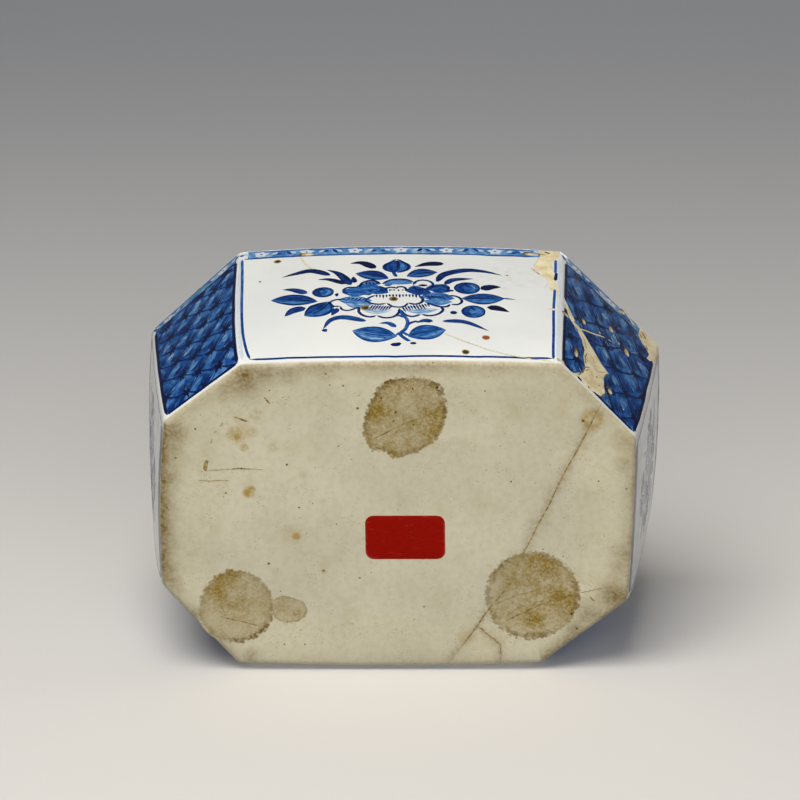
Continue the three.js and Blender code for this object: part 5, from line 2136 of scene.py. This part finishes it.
RESIDUES = (
    Residue(
        "pad_residue_front", (2.3, -26.6), density=0.66,
        corners=(
            (10.3, 0.9), (8.2, 5.4), (4.9, 8.6), (0.9, 10.1), (-2.6, 11.3), (-5.0, 9.2), (-8.6, 8.8),
            (-10.4, 4.4), (-10.0, -0.2), (-8.8, -4.2), (-6.4, -8.4), (-3.0, -10.6), (1.4, -11.2),
            (4.4, -11.0), (7.1, -10.1), (9.3, -8.2), (10.6, -2.6),
        ),
        patches=(
            (8.5, 1.5, 4.0, 0.35), (-7.5, -1.0, 3.0, 0.3), (1.0, -3.0, 3.0, -0.25), (8.0, -6.5, 2.5, -0.2),
            (-5.0, 5.0, 3.0, -0.12), (-8.6, 8.2, 2.0, 0.2), (-2.5, 11.0, 1.8, 0.35),
        ),
        arcs=(
            (-125, 34, 1.0), (-95, 14, 0.9), (180, 30, 0.7), (-45, 16, 0.8), (-10, 20, 0.75),
            (20, 24, 0.5), (110, 34, 0.7), (70, 26, 0.45),
        ),
    ),
    Residue(
        "pad_residue_left", (-41.0, 25.2), size=(9.4, 10.4), density=0.5,
        waves=((2, 0.02, 1.9), (3, 0.015, 0.4), (4, 0.01, 2.8)),
        patches=(
            (-1.6, -8.6, 2.6, 0.5), (-5.2, -5.4, 2.6, 0.42), (-2.2, -0.8, 2.6, 0.32), (3.0, -2.0, 3.0, 0.1),
            (0.0, 6.4, 3.0, -0.12), (-7.0, 5.0, 4.0, -0.25), (-1.0, -4.0, 1.2, -0.2),
        ),
        arcs=((48, 42, 0.95), (90, 14, 0.85), (0, 16, 0.5), (-105, 18, 0.5), (-25, 12, 0.5)),
    ),
    Residue(
        "pad_residue_right", (33.7, 22.2), size=(11.9, 12.3), density=0.56,
        waves=((2, 0.01, 2.4), (3, 0.012, 1.2)),
        patches=(
            (2.4, -8.2, 3.6, 0.4), (0.0, 6.6, 2.6, 0.42), (8.6, 1.6, 4.2, 0.36), (-6.0, -4.0, 3.0, 0.14),
            (-10.0, 0.0, 2.6, -0.3), (4.0, 1.0, 3.0, 0.1), (6.0, 8.6, 2.5, -0.16), (-4.0, 11.0, 3.0, -0.2),
        ),
        arcs=((-140, 36, 0.75), (180, 18, 0.55), (95, 44, 0.7), (0, 44, 0.6), (150, 16, 0.5), (-68, 12, 0.4)),
    ),
    Residue(
        "pad_residue_small", (-27.9, 26.1), size=(4.4, 4.0), density=0.4,
        waves=((2, 0.1, 0.9), (3, 0.04, 2.0)),
        patches=((2.4, 1.4, 1.6, 0.25), (-1.5, -1.5, 2.0, 0.1)),
        arcs=((30, 50, 0.42),),
    ),
)
LABEL = Label("paper_label", tuple(base_spot((0.033, 0.15))), 0.13)

TRELLISES = {
    "trellis_front_left": Trellis(FRONT_LEFT, 11, 0.69, 1.13, 8.2, 11.1, 1.2, 2.3),
    "trellis_front_right": Trellis(FRONT_RIGHT, 12, 0.98, 2.2, 10.8, 21.4, 2.65, 2.2),
    "trellis_back_left": Trellis(BACK_LEFT, 13, 0.8, 1.4, 9.2, 13.6, 2.0, 1.5),
    "trellis_back_right": Trellis(BACK_RIGHT, 14, 0.72, 1.3, 9.0, 12.4, 0.6, 3.1),
}

# What the restorer painted again over the filler of the front wall: line, width and load
RETOUCHES: tuple[Touch, ...] = (
    (((40.1, 46.1), (39.9, 43.6), (39.8, 41.2)), 0.8, 0.84),
    (((33.6, 57.6), (35.2, 57.0)), 0.7, 0.3),
)


def painting() -> dict[str, list[Stroke]]:
    """All strokes of the tub's painting, by the name of the piece that they make."""
    pieces = {name: trellis.paint() for name, trellis in TRELLISES.items()}
    panels = (
        ("front", FRONT, 21, False, (1.0, 1.0)), ("back", BACK, 22, True, (1.0, 0.97)),
        ("right_end", RIGHT_END, 23, False, (0.56, 0.8)), ("left_end", LEFT_END, 24, True, (0.56, 0.8)),
    )
    for name, wall, seed, mirrored, scale in panels:
        painter = Painter(wall, seed, mirrored, scale)
        Spray().paint(painter)
        PanelFrame().paint(painter)
        pieces["panel_" + name] = painter.strokes
    for wall in range(WALL_COUNT):
        pieces[f"border_{wall}"] = Border().paint(wall, BORDER_SEED + wall)
    pieces = {name: clear_of_fills(strokes) for name, strokes in pieces.items()}
    retouches = [Stroke(FRONT, *touch, tier=Tier.SEAM) for touch in RETOUCHES]
    pieces["panel_front"] += retouches
    return pieces


def place(piece: Object, slot: str, *nodes: str) -> None:
    """Puts a finished piece on the tub's only body and reports it."""
    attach(piece, "root")
    if nodes:
        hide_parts(*nodes)
    LOG.info("%s: %d faces", piece.name, len(piece.data.polygons))


def main() -> None:
    """Builds the tub and its stage."""
    logging.basicConfig(level=logging.INFO, format="%(message)s")
    bpy.context.scene.view_settings.view_transform = "Standard"
    dresser = Dresser()
    fills = {fill.node for fill in FILLS}
    for node, piece in Clay().pieces().items():
        if node in fills:
            dresser.dress(piece, dresser.filler)
        else:
            dresser.clay(piece)
        place(piece, "repair_filler" if node in fills else "glazed_body", node)
    brush = Brush(BRUSH_SEED)
    for name, strokes in painting().items():
        place(brush.lay(name, strokes, dresser.paint), "glazed_body")
    place(brush.lay("seams_and_chips", seam_strokes(), dresser.seam), "repair_filler")
    for residue in RESIDUES:
        place(residue.build(dresser.residue, dresser), "pad_residue", residue.node)
    place(LABEL.build(dresser.paper, dresser), "red_paper", LABEL.node)
    Studio().build()
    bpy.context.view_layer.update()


if __name__ == "__main__":
    main()
